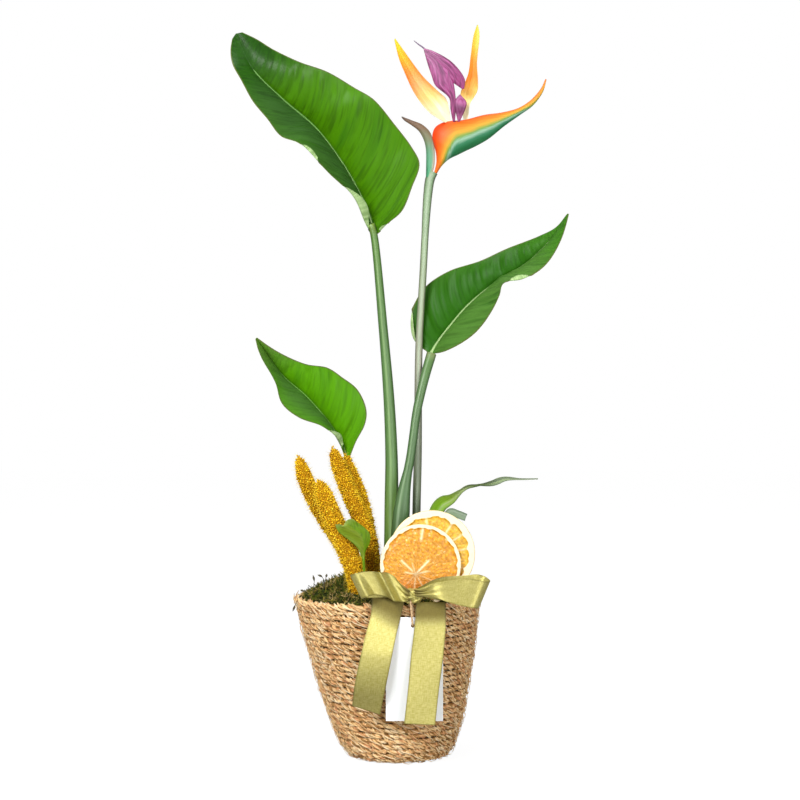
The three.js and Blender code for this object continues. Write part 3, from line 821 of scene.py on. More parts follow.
@dataclass
class Studio:
    """A white sweep under soft light, and a camera level with the plant's middle."""

    eye: Spot = (0.0008, -1.5, 0.284)
    lens: float = 84.4  # millimetres, on a sensor of 36
    middle: Spot = (0, 0, 0.3)
    # Each soft light's name, place, side in metres and watts.
    lights: tuple[tuple[str, Spot, float, float], ...] = (
        ("key", (-0.85, -1.75, 1.4), 1, 52), ("fill", (1, -1.9, 0.3), 1.2, 31),
        ("top", (-0.3, 0.2, 2.1), 1.2, 6),
    )
    floor_size: float = 12
    sky: Pair = (0.12, 0.4)  # its brightness below and above

    def build(self) -> None:
        """Make the camera, the lights, the white surroundings and the floor."""
        data = bpy.data.cameras.new("camera")
        data.lens, data.sensor_width = self.lens, 36
        camera = put("camera", data)
        camera.location, camera.rotation_euler = self.eye, (pi / 2, 0, 0)
        bpy.context.scene.camera = camera
        for name, at, size, power in self.lights:
            data = bpy.data.lights.new(name, "AREA")
            data.size, data.energy = size, power
            light = put(name, data)
            light.location = at
            aim = Vector(self.middle) - Vector(at)
            light.rotation_euler = aim.to_track_quat("-Z", "Y").to_euler()
        world = bpy.data.worlds.new("white room")
        bpy.context.scene.world = world
        world.use_nodes = True
        world.node_tree.nodes.clear()
        add = partial(add_node, world.node_tree)
        way = add("TexCoord").outputs["Generated"]
        up = add("SeparateXYZ", (way,)).outputs["Z"]
        seen = add("LightPath").outputs["Is Camera Ray"]
        air, glow = (
            add("Background", (WHITE, strength))
            for strength in (add(RANGE, (up, -0.7, 0.7, *self.sky)), 1)
        )
        add("OutputWorld", (add("MixShader", (seen, air, glow)),))
        bpy.context.scene.view_settings.view_transform = "Standard"
        side = self.floor_size / 2
        corners = np.array([[-side, -side, 0], [side, -side, 0], [side, side, 0], [-side, side, 0]])
        paper = StageWhite("white paper sweep", "", roughness=0.9, specular=0.1)
        make_piece("floor", [Shell(corners, [[0, 1, 2, 3]])], paper)


# ---- basket and what fills it ----

# The basket's outside, as radius and height.
BASKET_OUTLINE = (
    (40.5, 1.2), (43.2, 4.8), (46.8, 11), (49.6, 17.6), (55.6, 35),
    (60, 53), (66.4, 81), (70.4, 100), (74.6, 122), (74.8, 128),
)
BASKET_LEAN = -0.075  # sideways shift for each millimetre of height


def lean(points: Array) -> Array:
    """Lean points with the basket's walls, which drift left as they rise."""
    return points + points[..., 2:3] * np.array([BASKET_LEAN, 0, 0])


@dataclass
class Basket:
    """A basket coiled from seagrass: a core rope wrapped in slanting strands."""

    rope: float = 2.9  # its radius when wrapped
    core: float = 1.8
    row: float = 4.55  # from one row to the next
    pitch: float = 1.3  # from one strand to the next
    slant: float = -0.46  # of the strands, in radians
    strand: Spot = (3.7, 0.85, 1)  # half length, width and thickness
    rim_strand: float = 1.35  # how much larger the rim's are
    steps_a_turn: int = 96
    rise_share: float = 0.16  # part of a turn in which it climbs a row
    # The lengths in which it is made, and how far along each one starts.
    lengths: tuple[tuple[str, float], ...] = (("lower", 0), ("middle", 0.42), ("upper", 0.72))
    seed: int = 6
    finish: SeagrassStrand = SeagrassStrand("sun-dried seagrass", "seagrass_rope", 0.82, 0.2)
    shaded: GrainFinish = GrainFinish(
        "shaded seagrass core", "seagrass_rope", 0.9, 0.1, low="#8e6236", high="#bc925c",
        grain=1.6, depth=0.6,
    )

    def coil(self) -> tuple[Array, Array, Array]:
        """Lay the rope's centre line: a flat spiral for the base, then row on row.

        Returns:
            The line's points, which way is outward at each, and how large the strands are there.
        """
        inward = self.rope
        wall = [(radius - inward, height) for radius, height in BASKET_OUTLINE[2:-2]]
        top = (BASKET_OUTLINE[-2][0] - inward, BASKET_OUTLINE[-1][1] - inward)
        profile = np.array([(inward, inward), (37.4, inward), (40.4, 5.4), *wall, top])
        length = walked(profile)
        rows = round(length[-1] / self.row)
        turns = np.linspace(0, rows + 1, (rows + 1) * self.steps_a_turn)
        climbed = np.floor(turns) + ease(turns - np.floor(turns), 1 - self.rise_share, 1)
        place = np.minimum(climbed / rows, 1) * length[-1]
        lie = np.gradient(profile, axis=0)
        radius, height, across, up = (
            np.interp(place, length, part) for part in (*profile.T, lie[:, 1], -lie[:, 0])
        )
        angle = 2 * pi * turns + pi * (0.5 + self.rise_share)
        wander = 0.22 * sin(angle * 3.1) + 0.18 * sin(angle * 7.3 + 1)
        height = height + np.where(place > 45, wander, 0) * (turns < rows - 1)
        line, outward = (
            np.stack([out * cos(angle), out * sin(angle), rise], -1)
            for out, rise in ((radius, height), (across, up))
        )
        size = 1 + (self.rim_strand - 1) * (turns > rows - 0.1)
        return lean(line), unit(outward), size

    def rope_line(self, line: Array, outward: Array, size: Array) -> Thing:
        """Make an object of a line, with the way out and the size at each point."""
        mesh = bpy.data.meshes.new("rope line")
        mesh.from_pydata(line.tolist(), [(i, i + 1) for i in range(len(line) - 1)], [])
        ways = mesh.attributes.new("outward", "FLOAT_VECTOR", "POINT")
        ways.data.foreach_set("vector", outward.ravel())
        mesh.attributes.new("size", "FLOAT", "POINT").data.foreach_set("value", size)
        return put("rope line", mesh)

    def strand_shape(self) -> Shell:
        """Model one strand: a plump blade with blunt ends, of few faces."""
        half, width, thick = self.strand
        places = np.array([-1, -0.5, 0.5, 1])[:, None]
        reach = np.sqrt(np.clip(1.04 - places ** 2, 0.04, 1)) ** 0.8
        side, rise = reach * cos(around(5)), reach * sin(around(5))
        points = np.stack([
            half * places + 0 * side, width * side, thick * rise - 1.3 * places ** 2 - 0.3 * side ** 2,
        ], -1)
        return Shell.tube(points * MM, {
            "length": half * places * MM, "side": width * side * MM, "edge": abs(side),
        })

    def blade_shape(self) -> Shell:
        """Model one loose blade: a narrow strip that stands off at one end."""
        places, turn = np.linspace(-1, 1, 5)[:, None], around(3)[None]
        points = np.stack([
            6.5 * places + 0 * turn, 0.5 * cos(turn) * (1.1 - places ** 2) + 0.4 * places ** 2,
            1.7 + 0.18 * sin(turn) + 0.3 * places ** 3 - 0.8 * places ** 2,
        ], -1)
        return Shell.tube(points * MM, {"length": places * 6 * MM})

    def wrap(self, ground: Thing, name: str) -> Thing:
        """Wrap strands and a few loose blades about a core rope along a line.

        Args:
            ground: the line, which is used up.
            name: the new piece's name.

        Returns:
            The wrapped rope.
        """
        recipe = Recipe("wrapped rope", {
            "Core": self.core * MM, "Step": 4.5 * MM, "Strand Pitch": self.pitch * MM,
            "Blade Pitch": 8 * self.pitch * MM, "Strand": self.strand_shape(), "Blade": self.blade_shape(),
            "Core Finish": self.shaded.material(), "Finish": self.finish.material(),
        })
        add, inputs = recipe.add, recipe.inputs
        line = add("MeshToCurve", (inputs["Geometry"],))
        coarse = add("ResampleCurve", {"Curve": line, "Length": inputs["Step"]}, mode="LENGTH")
        section = add("CurvePrimitiveCircle", {"Resolution": 8, "Radius": inputs["Core"]}, mode="RADIUS")
        core = add("CurveToMesh", {"Curve": coarse, "Profile Curve": section, "Fill Caps": True})
        outward, size = recipe.attribute("outward", "FLOAT_VECTOR"), recipe.attribute("size")
        facing = add(
            "FunctionNodeAxesToRotation", (add("InputTangent"), outward),
            primary_axis="X", secondary_axis="Z",
        )
        jitter = add("FunctionNodeRandomValue", {
            0: (-0.6 * MM,) * 3, 1: (0.6 * MM,) * 3, "Seed": self.seed,
        }, data_type="FLOAT_VECTOR")
        offset = add("ShaderNodeVectorMath", (outward, (1.3 * MM,) * 3, jitter), operation="MULTIPLY_ADD")
        branches = [recipe.dressed(core, "Core Finish")]
        for shape, tones in (("Strand", (0, 1)), ("Blade", (0.4, 1))):
            spaced = add("ResampleCurve", {
                "Curve": line, "Length": inputs[f"{shape} Pitch"],
            }, mode="LENGTH")
            moved = add("SetPosition", {"Geometry": spaced, "Offset": offset})
            branches.append(recipe.scatter(
                moved, facing, shape, (-0.3, -0.06, self.slant - 0.22),
                (0.3, 0.06, self.slant + 0.22), (0.85, 1.15), tones, self.seed, size,
            ))
        return recipe.bake(ground, name, branches)

    def build(self) -> None:
        """Coil the rope in three lengths, and dress the liner and the soil."""
        turn = around(64)
        outline = lean(np.concatenate([
            np.stack([radius * cos(turn), radius * sin(turn), height + 0 * turn], -1)
            for radius, height in BASKET_OUTLINE
        ]))
        outline[:, 2] -= BASKET_OUTLINE[0][1] * (outline[:, 2] < 2)
        line, outward, size = self.coil()
        line = seated("basket", outline)(line)
        starts = [int(len(line) * share) for _, share in self.lengths]
        for (name, _), start, end in zip(self.lengths, starts, [*starts[1:], len(line)]):
            part = slice(start, end + 1)
            ground = self.rope_line(line[part], outward[part], size[part])
            keep(self.wrap(ground, f"basket_coil_{name}"), "basket")
        dress("plastic_liner", GrainFinish(
            "moulded black polythene", "liner_plastic", 0.45, low="#3a322c", high="#463d36",
            grain=2, depth=0.05,
        ))
        dress("potting_soil", GrainFinish("damp peat", "soil", 0.95, 0.1))


@dataclass
class Moss:
    """A mound of sheet moss that hides the soil, with a few stray twigs."""

    edge: float = 125
    crown: float = 138
    foot: float = 112.3
    radius: float = 69.6
    # Each lump's x and y, its spread and its height.
    lumps: tuple[tuple[float, float, float, float], ...] = ((-38, 8, 16, 9), (24, -45, 12, 7))
    sprig_gap: float = 1.3
    sprig: float = 3.8
    # Stray twigs at the left rim, from root to tip.
    twigs: tuple[Points, ...] = (
        ((-66, -20, 128), (-67.6, -21, 134), (-66.8, -21.4, 141), (-67.8, -21.4, 146)),
        ((-60, -24, 134), (-58.4, -25, 140), (-60.8, -25.6, 145.2), (-64, -25.8, 146.6)),
        ((-60, -24.6, 137), (-58, -25.4, 142.6), (-56.6, -25.6, 147.4)),
        ((-72, -20, 127), (-78, -21, 129.4), (-80.6, -21.6, 125), (-83.8, -21.8, 117.4)),
        ((-70, -22, 128), (-74, -24, 133), (-77.6, -24.6, 134.6)),
    )
    seed: int = 4
    rings: int = 40
    spokes: int = 120
    ground: GrainFinish = GrainFinish(
        "shaded moss", "moss", 0.95, 0.1, low="#1f2410", high="#4a4a20", grain=1.2, depth=0.8,
    )
    green: ToneFinish = ToneFinish("moss sprigs", "moss", 0.8, 0.2, tones=(
        "#28300c", "#3f5414", "#6a7020", "#94803a", "#c0a870",
    ), patch=14)
    stem: GrainFinish = GrainFinish(
        "dry moss stem", "moss", 0.9, 0.1, low="#3a3628", high="#6c6450", grain=0.8, depth=0.1,
    )

    def height(self, x: Array, y: Array) -> Array:
        """How high the mound is at a place, in millimetres."""
        out = np.hypot(x - BASKET_LEAN * self.edge, y) / self.radius
        dome = self.edge + (self.crown - self.edge) * np.sqrt(np.clip(1 - out ** 2.2, 0, 1))
        for at_x, at_y, spread, rise in self.lumps:
            dome = dome + rise * np.exp(-((x - at_x) ** 2 + (y - at_y) ** 2) / (2 * spread ** 2))
        rough = sin(x * 0.55 + 1.3 * sin(y * 0.4)) * cos(y * 0.5 + sin(x * 0.3))
        return dome + 0.9 * rough * (out < 0.97)

    def mound(self) -> Shell:
        """Model the mound in rings, from its crown to its foot, and seat it."""
        out = self.radius * from_to(self.rings) ** 0.8
        x = out * cos(around(self.spokes)) + BASKET_LEAN * self.edge
        y = out * sin(around(self.spokes))
        top = np.stack([x, y, self.height(x, y)], -1)
        foot = top[-1:] * (1, 1, 0) + (0, 0, self.foot)
        rings = np.concatenate([top, foot, foot * (0.1, 0.1, 1)])
        return Shell.tube(seated("moss_mound", rings)(rings))

    def sprig_shape(self) -> Shell:
        """Model one sprig: a bent stem with two rows of tiny leaves."""
        places = np.linspace(0, 1, 6)
        spine = np.stack([places, 0 * places, 0.35 * places ** 2], -1)
        corners, faces = [], []
        for i, point in enumerate(spine):
            reach = 0.3 * (1 - 0.65 * places[i])
            for side in (-1, 1):
                faces.append([*range(len(corners), len(corners) + 4)])
                corners += [
                    point + (-0.06, 0, 0), point + (0.1, 0, 0),
                    point + (0.2, side * reach, 0.12), point + (0.06, side * reach * 0.8, 0.16),
                ]
        stem = len(corners)
        for point in (spine[0], spine[3], spine[5]):
            corners += [point + (0, 0.03, 0), point + (0, -0.03, 0)]
        faces += [[stem, stem + 1, stem + 3, stem + 2], [stem + 2, stem + 3, stem + 5, stem + 4]]
        return Shell(np.array(corners) * self.sprig * MM, faces)

    def sprigs(self, ground: Thing) -> Thing:
        """Scatter sprigs over the mound.

        Args:
            ground: the mound, which is left as it is.

        Returns:
            All the sprigs.
        """
        recipe = Recipe("moss sprigs", {
            "Gap": self.sprig_gap * MM, "Seed": self.seed, "Rim Height": self.edge * MM + 1 * MM,
            "Sprig": self.sprig_shape(), "Finish": self.green.material(),
        })
        add, inputs = recipe.add, recipe.inputs
        height = add("ShaderNodeSeparateXYZ", (add("InputPosition"),)).outputs["Z"]
        on_top = add("FunctionNodeCompare", (height, inputs["Rim Height"]), operation="GREATER_THAN")
        points = add("DistributePointsOnFaces", {
            "Mesh": inputs["Geometry"], "Selection": on_top, "Distance Min": inputs["Gap"],
            "Density Max": 900000, "Seed": inputs["Seed"],
        }, distribute_method="POISSON")
        sprigs = recipe.scatter(
            points, points.outputs["Rotation"], "Sprig", (-1.3, -0.9, 0), (1.3, 0.4, 6.283),
            (0.55, 1.15), (0, 1), self.seed,
        )
        return recipe.bake(put("sprig ground", ground.data.copy()), "moss_sprigs", [sprigs])

    def stray(self) -> list[Shell]:
        """Model the dark twigs that stick out over the rim, each with a bud."""
        share = np.linspace(0, 1, 24)
        girth = 0.34 + 0.75 * bump(share, 0.86, 0.09) - 0.2 * share
        return [Shell.tube(sweep(curve(twig, 24), girth, 0.6 * girth, 6) * MM) for twig in self.twigs]

    def build(self) -> None:
        """Make the mound, its sprigs and its stray twigs."""
        ground = make_piece("moss_ground", [self.mound()], self.ground)
        keep(self.sprigs(ground), "moss_mound")
        keep(ground, "moss_mound")
        keep(make_piece("moss_twigs", self.stray(), self.stem), "moss_mound")


# ---- leaves and stalks ----


@dataclass
class Blade:
    """One leaf: two halves that meet at a sunken midrib, arched, furrowed and wavy.

    Its lines run from foot to tip. A curl is a stretch of the margin that turns forward
    and shows its pale under side: where its middle is, from 0 at the foot to 1 at the tip,
    half its length, and its width.
    """

    node: str
    left: Points
    midrib: Points
    right: Points
    face: LeafFace
    back: LeafBack = LeafBack("leaf under side", "leaf_blade", 0.6, 0.3)
    arch: Pair = (3, 4)  # how far the halves bulge forward
    slant: float = 0.85  # of the side veins, for each millimetre outward
    # Each row of furrows: its spacing, height and phase.
    furrows: tuple[Spot, ...] = ((17, 0.45, 0), (9.7, 0.28, 1.1), (4.3, 0.12, 2))
    ripple: Pair = (70, 1)  # spacing and height at the margin
    rib_width: float = 1.5
    left_curls: tuple[Spot, ...] = ()
    right_curls: tuple[Spot, ...] = ()
    thickness: float = 0.45
    rows: int = 210
    columns: int = 30
    strips: int = 9  # how many columns a curl has

    def half(self, edge: Points, side: int, curls: Sequence[Spot], arch: float) -> Measures:
        """Model one half of the leaf, from the midrib to its margin.

        Args:
            edge: the line of the margin.
            side: -1 for the left half and 1 for the right.
            curls: where the margin curls forward.
            arch: how far the half bulges forward.

        Returns:
            The points, the way that each faces, and the measures of its finish.
        """
        rib, rim = (curve(line, self.rows) for line in (self.midrib, edge))
        length = walked(rib)[:, None]
        share = np.linspace(0, 1, self.columns) ** 1.15
        flat, width = between(rib, rim, share)
        out = width * share
        vein = length - self.slant * out * (0.8 + 0.25 * share)
        place = from_to(self.rows) + 0 * out
        across = np.gradient(flat, axis=1)
        across[:, 0] = across[:, 1]
        facing = unit(np.cross(np.gradient(flat, axis=0), across)) * -side
        rise = arch * sin(pi * share ** 0.8)[None] * width / width.max()
        for spacing, height, phase in self.furrows:
            wave = sin(2 * pi * vein / spacing + phase + 0.8 * sin(vein / 17))
            calm = ease(1 - place, 0.02, 0.3)
            rise = rise + height * wave * calm * ease(out, 0, 9) * ease(width - out, 0, 12)
        spacing, height = self.ripple
        ripple = sin(2 * pi * length / spacing + side)
        rise = rise + height * ripple * share ** 3 * ease(1 - place, 0, 0.12) * ease(place, 0, 0.1)
        groove = 0.5 * bump(out, 0, self.rib_width) * ease(1 - place, 0.05, 0.5)
        fine = self.rib_width * (1.15 - 0.75 * place)
        return self.curled({
            "points": flat + facing * (rise - groove)[..., None], "facing": facing,
            "place": place, "vein": vein * MM, "rib": out * MM, "side": side * share + 0 * out,
            "rib_share": out / fine + 6 * ease(place, 0.82, 0.94), "margin": (width - out) * MM,
        }, curls)

    def curled(self, half: Measures, curls: Sequence[Spot]) -> Measures:
        """Add the strip beyond the margin that curls forward.

        Args:
            half: one half of the leaf.
            curls: where the strip is wide enough to show.

        Returns:
            The half with the strip's columns added.
        """
        width = np.full(self.rows, 0.3)
        for at, spread, most in curls:
            width = width + most * bump(np.linspace(0, 1, self.rows), at, spread) ** 1.5
        points, facing = half.pop("points"), half.pop("facing")
        outward, front = unit(points[:, -1] - points[:, -4]), facing[:, -1]
        last = points[:, -1]
        rolled, ways = [], []
        for strip in range(1, self.strips + 1):
            turned = 2.75 * ease(width, 0.7, 2.2) * (1 - exp(-strip / 1.6))
            flat, bent = cos(turned)[:, None], sin(turned)[:, None]
            last = last + (flat * outward + bent * front) * (width / self.strips)[:, None]
            rolled.append(last)
            ways.append(unit(flat * front - bent * outward))
        grown = {
            name: np.hstack([values, np.repeat(values[:, -1:], self.strips, 1)])
            for name, values in half.items()
        }
        grown["points"] = np.hstack([points, np.stack(rolled, 1)])
        grown["facing"] = np.hstack([facing, np.stack(ways, 1)])
        return grown

    def build(self) -> None:
        """Join the halves into one blade, and add the rib behind it."""
        left = self.half(self.left, -1, self.left_curls, self.arch[0])
        right = self.half(self.right, 1, self.right_curls, self.arch[1])
        sheet = {name: np.hstack([left[name][:, :0:-1], right[name]]) for name in left}
        seat = seated(self.node, np.vstack([curve(line, 80) for line in (self.left, self.right)]))
        points, facing = sheet.pop("points"), sheet.pop("facing")
        wall = self.thickness * (0.35 + 0.65 * ease(sheet["margin"], 0, 4 * MM))
        back = points - facing * wall[..., None]
        sunk = 0.3 * self.rib_width + 0.5
        line = curve(self.midrib, self.rows) - facing[:, self.columns - 1 + 8] * sunk
        girth = self.rib_width * along([1, 0.85, 0.6, 0.35, 0.12], np.linspace(0, 1, self.rows))
        rib = Shell.tube(seat(sweep(line, girth, 1.1 * girth, 10)), {
            "vein": 0.004 * cos(around(10)), "place": from_to(self.rows), "rib": 0, "side": 0.5,
        }, coat=1)
        blade = Shell.slab(seat(points), seat(back), sheet, back_coat=1)
        show(self.node, "blade", [blade, rib], self.face, self.back)


LEAVES = (
    Blade(
        "leaf_tall",
        left=[(-21.8, 3, 417.6), (-28, -5, 428), (-38, -18, 447), (-53, -30, 462), (-63, -38, 471),
              (-77, -40, 483), (-92, -36, 490), (-102, -40, 504), (-114, -42, 518), (-123, -37, 533),
              (-130, -34, 547), (-131.4, -34, 557), (-130.2, -35, 565.6)],
        midrib=[(-19.6, 4, 417), (-24, 4, 434), (-34, 2, 455), (-48, 0, 478), (-67, -4, 502),
                (-93, -17, 523), (-115, -31, 544), (-127.3, -36, 569.6)],
        right=[(-17.2, 3, 418), (-9, 0, 426), (2, -6, 435), (10, -10, 454), (16, -12, 472), (10, -12, 485),
               (-3, -14, 502), (-21, -18, 522), (-37, -16, 532), (-57, -20, 543), (-79, -24, 550),
               (-98, -28, 558.6), (-111, -31, 566), (-122.6, -35, 570.8)],
        face=LeafFace(
            "glossy tall leaf", "leaf_blade", 0.42, 0.12, sunny="#427802", dull="#365e26",
            furrow="#2e6208", tip="#1c4a02", wax=0.35,
        ),
        left_curls=((0.43, 0.05, 2.6), (0.13, 0.085, 8)), right_curls=((0.03, 0.02, 3),),
    ),
    Blade(
        "leaf_mid",
        left=[(22.6, 3, 323), (12, 8, 333), (10, 11, 350), (15, 12.5, 366), (23, 12, 377), (41, 6, 388),
              (65, 2, 395), (85, -4, 404), (110, -12, 414), (124, -20, 421), (131.6, -27, 430)],
        midrib=[(25.4, 3, 322), (31, 5, 331), (41, 2, 344), (56, -2, 361), (80, -6, 380), (100, -10, 392),
                (119, -18, 410), (132, -27.6, 430)],
        right=[(28.4, 3, 321.6), (39, -8, 324), (58, -22, 337), (73, -30, 355), (79, -32, 366),
               (82, -30, 375), (96, -30, 379), (113, -34, 390), (127, -34, 410), (132.4, -28.4, 429.6)],
        face=LeafFace(
            "satiny middle leaf", "leaf_blade", 0.42, 0.1,
            sunny="#4a762c", dull="#265c08", furrow="#245410", rib="#7c9e60", tip="#3a7218",
            vein_shade=0.84,
        ),
        left_curls=((0.13, 0.08, 4),), right_curls=((0.6, 0.05, 3.6),), rows=180,
    ),
    Blade(
        "leaf_small",
        left=[(-42.8, 12, 237.8), (-47, 3, 250), (-61, -12, 263), (-78, -20, 271), (-91, -24, 282),
              (-97, -22, 297), (-108, -22, 316), (-113.4, -13, 332.6)],
        midrib=[(-41.2, 12, 237), (-45, 12, 248), (-56, 9, 266), (-75, 4, 288), (-93, 0, 304),
                (-113, -12, 333)],
        right=[(-39.6, 12, 237.8), (-34, 9, 251), (-27, 6, 265), (-26, 4, 276), (-33, 1, 292),
               (-45, -2, 302), (-57, -4, 310), (-75, -6, 313), (-97, -10, 322), (-112.6, -12, 333.4)],
        face=LeafFace(
            "young leaf", "leaf_blade", 0.42, 0.12,
            sunny="#509004", dull="#44702a", furrow="#3f7a08", rib="#6a9a44", tip="#4a7420",
            margin_glow=0.6, vein_shade=0.86,
        ),
        left_curls=((0.16, 0.07, 5),), rib_width=1.2, rows=150, columns=26,
    ),
)


@dataclass
class Stalk:
    """A leaf stalk or the flower's stem: a rod whose girth changes along it."""

    node: str
    path: Points
    widths: Row
    depths: Row
    finish: FibreSkin
    seam: float | None = None  # the angle of the sheath's overlap, in radians
    seam_end: float = 0.5  # how far up the overlap runs
    groove: float = 0  # depth of the channel down its front, as a share
    beyond: Points = ()  # where it runs on into what it bears
    rows: int = 120
    sides: int = 28

    def section(self, share: Array, angle: Array) -> Array:
        """How far out the rod's skin is, as a share of its half-width."""
        front = bump(turn_off(angle, -pi / 2), 0, 0.55)
        reach = 1 - self.groove * front + 0.012 * sin(angle * 7 + share * 3)
        if self.seam is not None:
            past = turn_off(angle, self.seam)
            step = np.where((past > 0) & (past < 1.2), 1 - past / 1.2, 0)
            reach = reach + 0.13 * step * ease(share, self.seam_end, self.seam_end - 0.2)
        return reach

    def build(self) -> None:
        """Make the stalk."""
        share = np.linspace(0, 1, self.rows)
        widths, depths = along(self.widths, share), along(self.depths, share)
        plain = sweep(curve(self.path, self.rows), widths, depths, self.sides)
        line = curve([*self.path, *self.beyond], self.rows)
        rings = sweep(line, widths, depths, self.sides, self.section)
        turn = around(self.sides)
        show(self.node, "rod", [Shell.tube(seated(self.node, plain)(rings), {
            "share": share[:, None], "turn": cos(turn), "along": walked(line)[:, None] * MM,
            "across": widths[:, None] * cos(turn) * MM, "deep": depths[:, None] * sin(turn) * MM,
        })], self.finish)


STALKS = (
    Stalk(
        "petiole_tall",
        path=[(-6, -6, 66), (-7, -5, 125), (-6, -4, 168), (-6, -3, 203), (-6, -2, 238), (-8, 0, 284),
              (-13, 2, 345), (-20, 4, 416)],
        widths=[4.5, 5.4, 6.2, 5.6, 4.9, 4.3, 3.7, 3.3, 2.9],
        depths=[4, 4.4, 4.8, 4.4, 4, 3.6, 3.2, 2.9, 2.6],
        finish=FibreSkin("tall leaf stalk", "petiole", 0.42, 0.4, lengthwise=(
            (0, "#456215"), (0.24, "#517221"), (0.34, "#698b41"), (0.46, "#557940"),
            (0.75, "#51743f"), (0.97, "#547935"), (1, "#738a3d"),
        ), stripe="#82a168", stripe_at=-0.15, edge="#365427"),
        seam=-0.9, beyond=[(-22.4, 1.5, 425)],
    ),
    Stalk(
        "petiole_mid",
        path=[(-3, -23, 66), (-2, -22, 126), (0, -20, 173), (4, -16, 212), (9, -13.5, 238),
              (14, -9.5, 274), (17, -7.5, 288), (21, -4, 304), (26, 3, 321)],
        widths=[5, 6, 7, 7, 6.6, 3.6, 3.4, 3.6, 4], depths=[4, 4.6, 5, 4.6, 3.4, 3, 3, 3, 2.8],
        finish=FibreSkin("middle leaf stalk", "petiole", 0.42, 0.4, lengthwise=(
            (0, "#405e25"), (0.4, "#3f5e2f"), (0.55, "#4b6c3f"), (0.8, "#527145"),
            (0.97, "#587b45"), (1, "#83905e"),
        ), stripe="#789469", stripe_at=-0.35, stripe_width=0.3, edge="#324f2a"),
        seam=-2.2, seam_end=0.62,
    ),
    Stalk(
        "petiole_small",
        path=[(-20, 16, 70), (-22, 14, 147), (-27, 14, 171), (-34, 13, 203), (-41, 12, 237.6)],
        widths=[2.6, 2.5, 2.3, 2.2, 2], depths=[2.4, 2.3, 2.2, 2, 1.8],
        finish=FibreSkin("small leaf stalk", "petiole", 0.45, 0.4), groove=0.12, rows=70, sides=20,
    ),
    Stalk(
        "flower_stem",
        path=[(13.5, 2, 62), (14, 2, 197), (15, 2, 238), (16, 2, 327), (19, 2, 381), (23, 2, 448),
              (25, 2, 461.6)],
        widths=[3.4, 3.4, 3.4, 3.3, 3.1, 3, 2.9, 2.9, 4],
        depths=[3.4, 3.4, 3.4, 3.3, 3.1, 3, 2.9, 2.9, 3.8],
        finish=FibreSkin("flower stem", "petiole", 0.42, 0.4, lengthwise=(
            (0, "#5f714b"), (0.35, "#718264"), (0.62, "#979785"), (0.74, "#949e80"),
            (0.9, "#8aa37d"), (1, "#7d9874"),
        ), stripe="#a5b69a", stripe_at=-0.05, stripe_width=0.5, edge="#555a43", edge_share=0.85),
        beyond=[(27.2, 2, 466.6)],
    ),
)


# ---- flower ----


@dataclass
class Hull:
    """A body between an upper and a lower line, rounded or keeled across."""

    upper: Points
    lower: Points
    depths: Row
    keel: float = 1  # 1 for a round section, more for sharp upper and lower edges
    pleats: tuple[int, float] = (0, 0)  # how many run lengthwise, and how deep
    even: bool = False
    rows: int = 90
    sides: int = 36

    def __post_init__(self) -> None:
        """Lay the rings, which run from the upper line back to it, by the back."""
        over, under = (curve(line, self.rows, self.even) for line in (self.upper, self.lower))
        turn, share = around(self.sides), from_to(self.rows)
        depth = along(self.depths, share)
        count, height = self.pleats
        if count:
            swell = cos(count * pi * cos(turn))
            depth = depth * (1 + height * swell * ease(share, 0, 0.15))
        self.middle = (over + under) / 2
        self.body = self.middle[:, None] + ((over - under) / 2)[:, None] * cos(turn)[:, None]
        self.body[..., 1] += depth * np.sign(sin(turn)) * abs(sin(turn)) ** self.keel
        # How far along each corner is, and how far down from the upper line, from 0 to 1.
        self.share, self.down = np.broadcast_arrays(share, (1 - cos(turn)) / 2)

    def shell(self, seat: Seat, bloom: Any, rim: Any = 0) -> Shell:
        """Seat the body and measure it for its finish.

        Args:
            seat: what carries it to its place.
            bloom: where on the finish's ramp each corner is.
            rim: how much of the rim's colour each corner has.

        Returns:
            The shell.
        """
        girth = np.ptp(self.body[..., 2], axis=1)[:, None]
        return Shell.tube(seat(self.body), {
            "bloom": bloom, "rim": rim, "across": self.down * girth * MM,
            "along": walked(self.middle)[:, None] * MM, "deep": np.sign(sin(around(self.sides))) * MM,
        })


@dataclass
class Sepal:
    """A flame-shaped sepal: a sheet between two edges, creased along its middle."""

    node: str
    outer: Points
    inner: Points
    crease: float
    finish: BloomSkin
    thickness: float = 1
    rows: int = 80
    columns: int = 22

    def build(self) -> None:
        """Make the sepal as a closed, slightly boat-shaped sheet."""
        outer, inner = (curve(line, self.rows) for line in (self.outer, self.inner))
        share, place = np.linspace(0, 1, self.columns), from_to(self.rows)
        points, width = between(outer, inner, share)
        inside = 1 - abs(2 * share - 1)
        dip = self.crease * (width / width.max()) * inside ** 0.8
        ribs = 0.12 * sin(share * 26) * inside ** 0.5 * (width / width.max()) ** 1.5
        wall = self.thickness * (0.4 + 0.6 * ease(inside, 0, 0.3)) * ease(place, 0, 0.1)
        points[..., 1] += dip - self.crease * 0.35 - ribs
        back = points.copy()
        back[..., 1] += np.maximum(wall, 0.2)
        seat = seated(self.node, np.vstack([curve(self.outer, 60), curve(self.inner, 60)]))
        show(self.node, "flame", [Shell.slab(seat(points), seat(back), {
            "bloom": place, "along": place * 70 * MM, "across": width * share * MM,
            "rim": (1 - ease(inside, 0, 0.55)) * bump(place, 0.42, 0.2),
        })], self.finish)


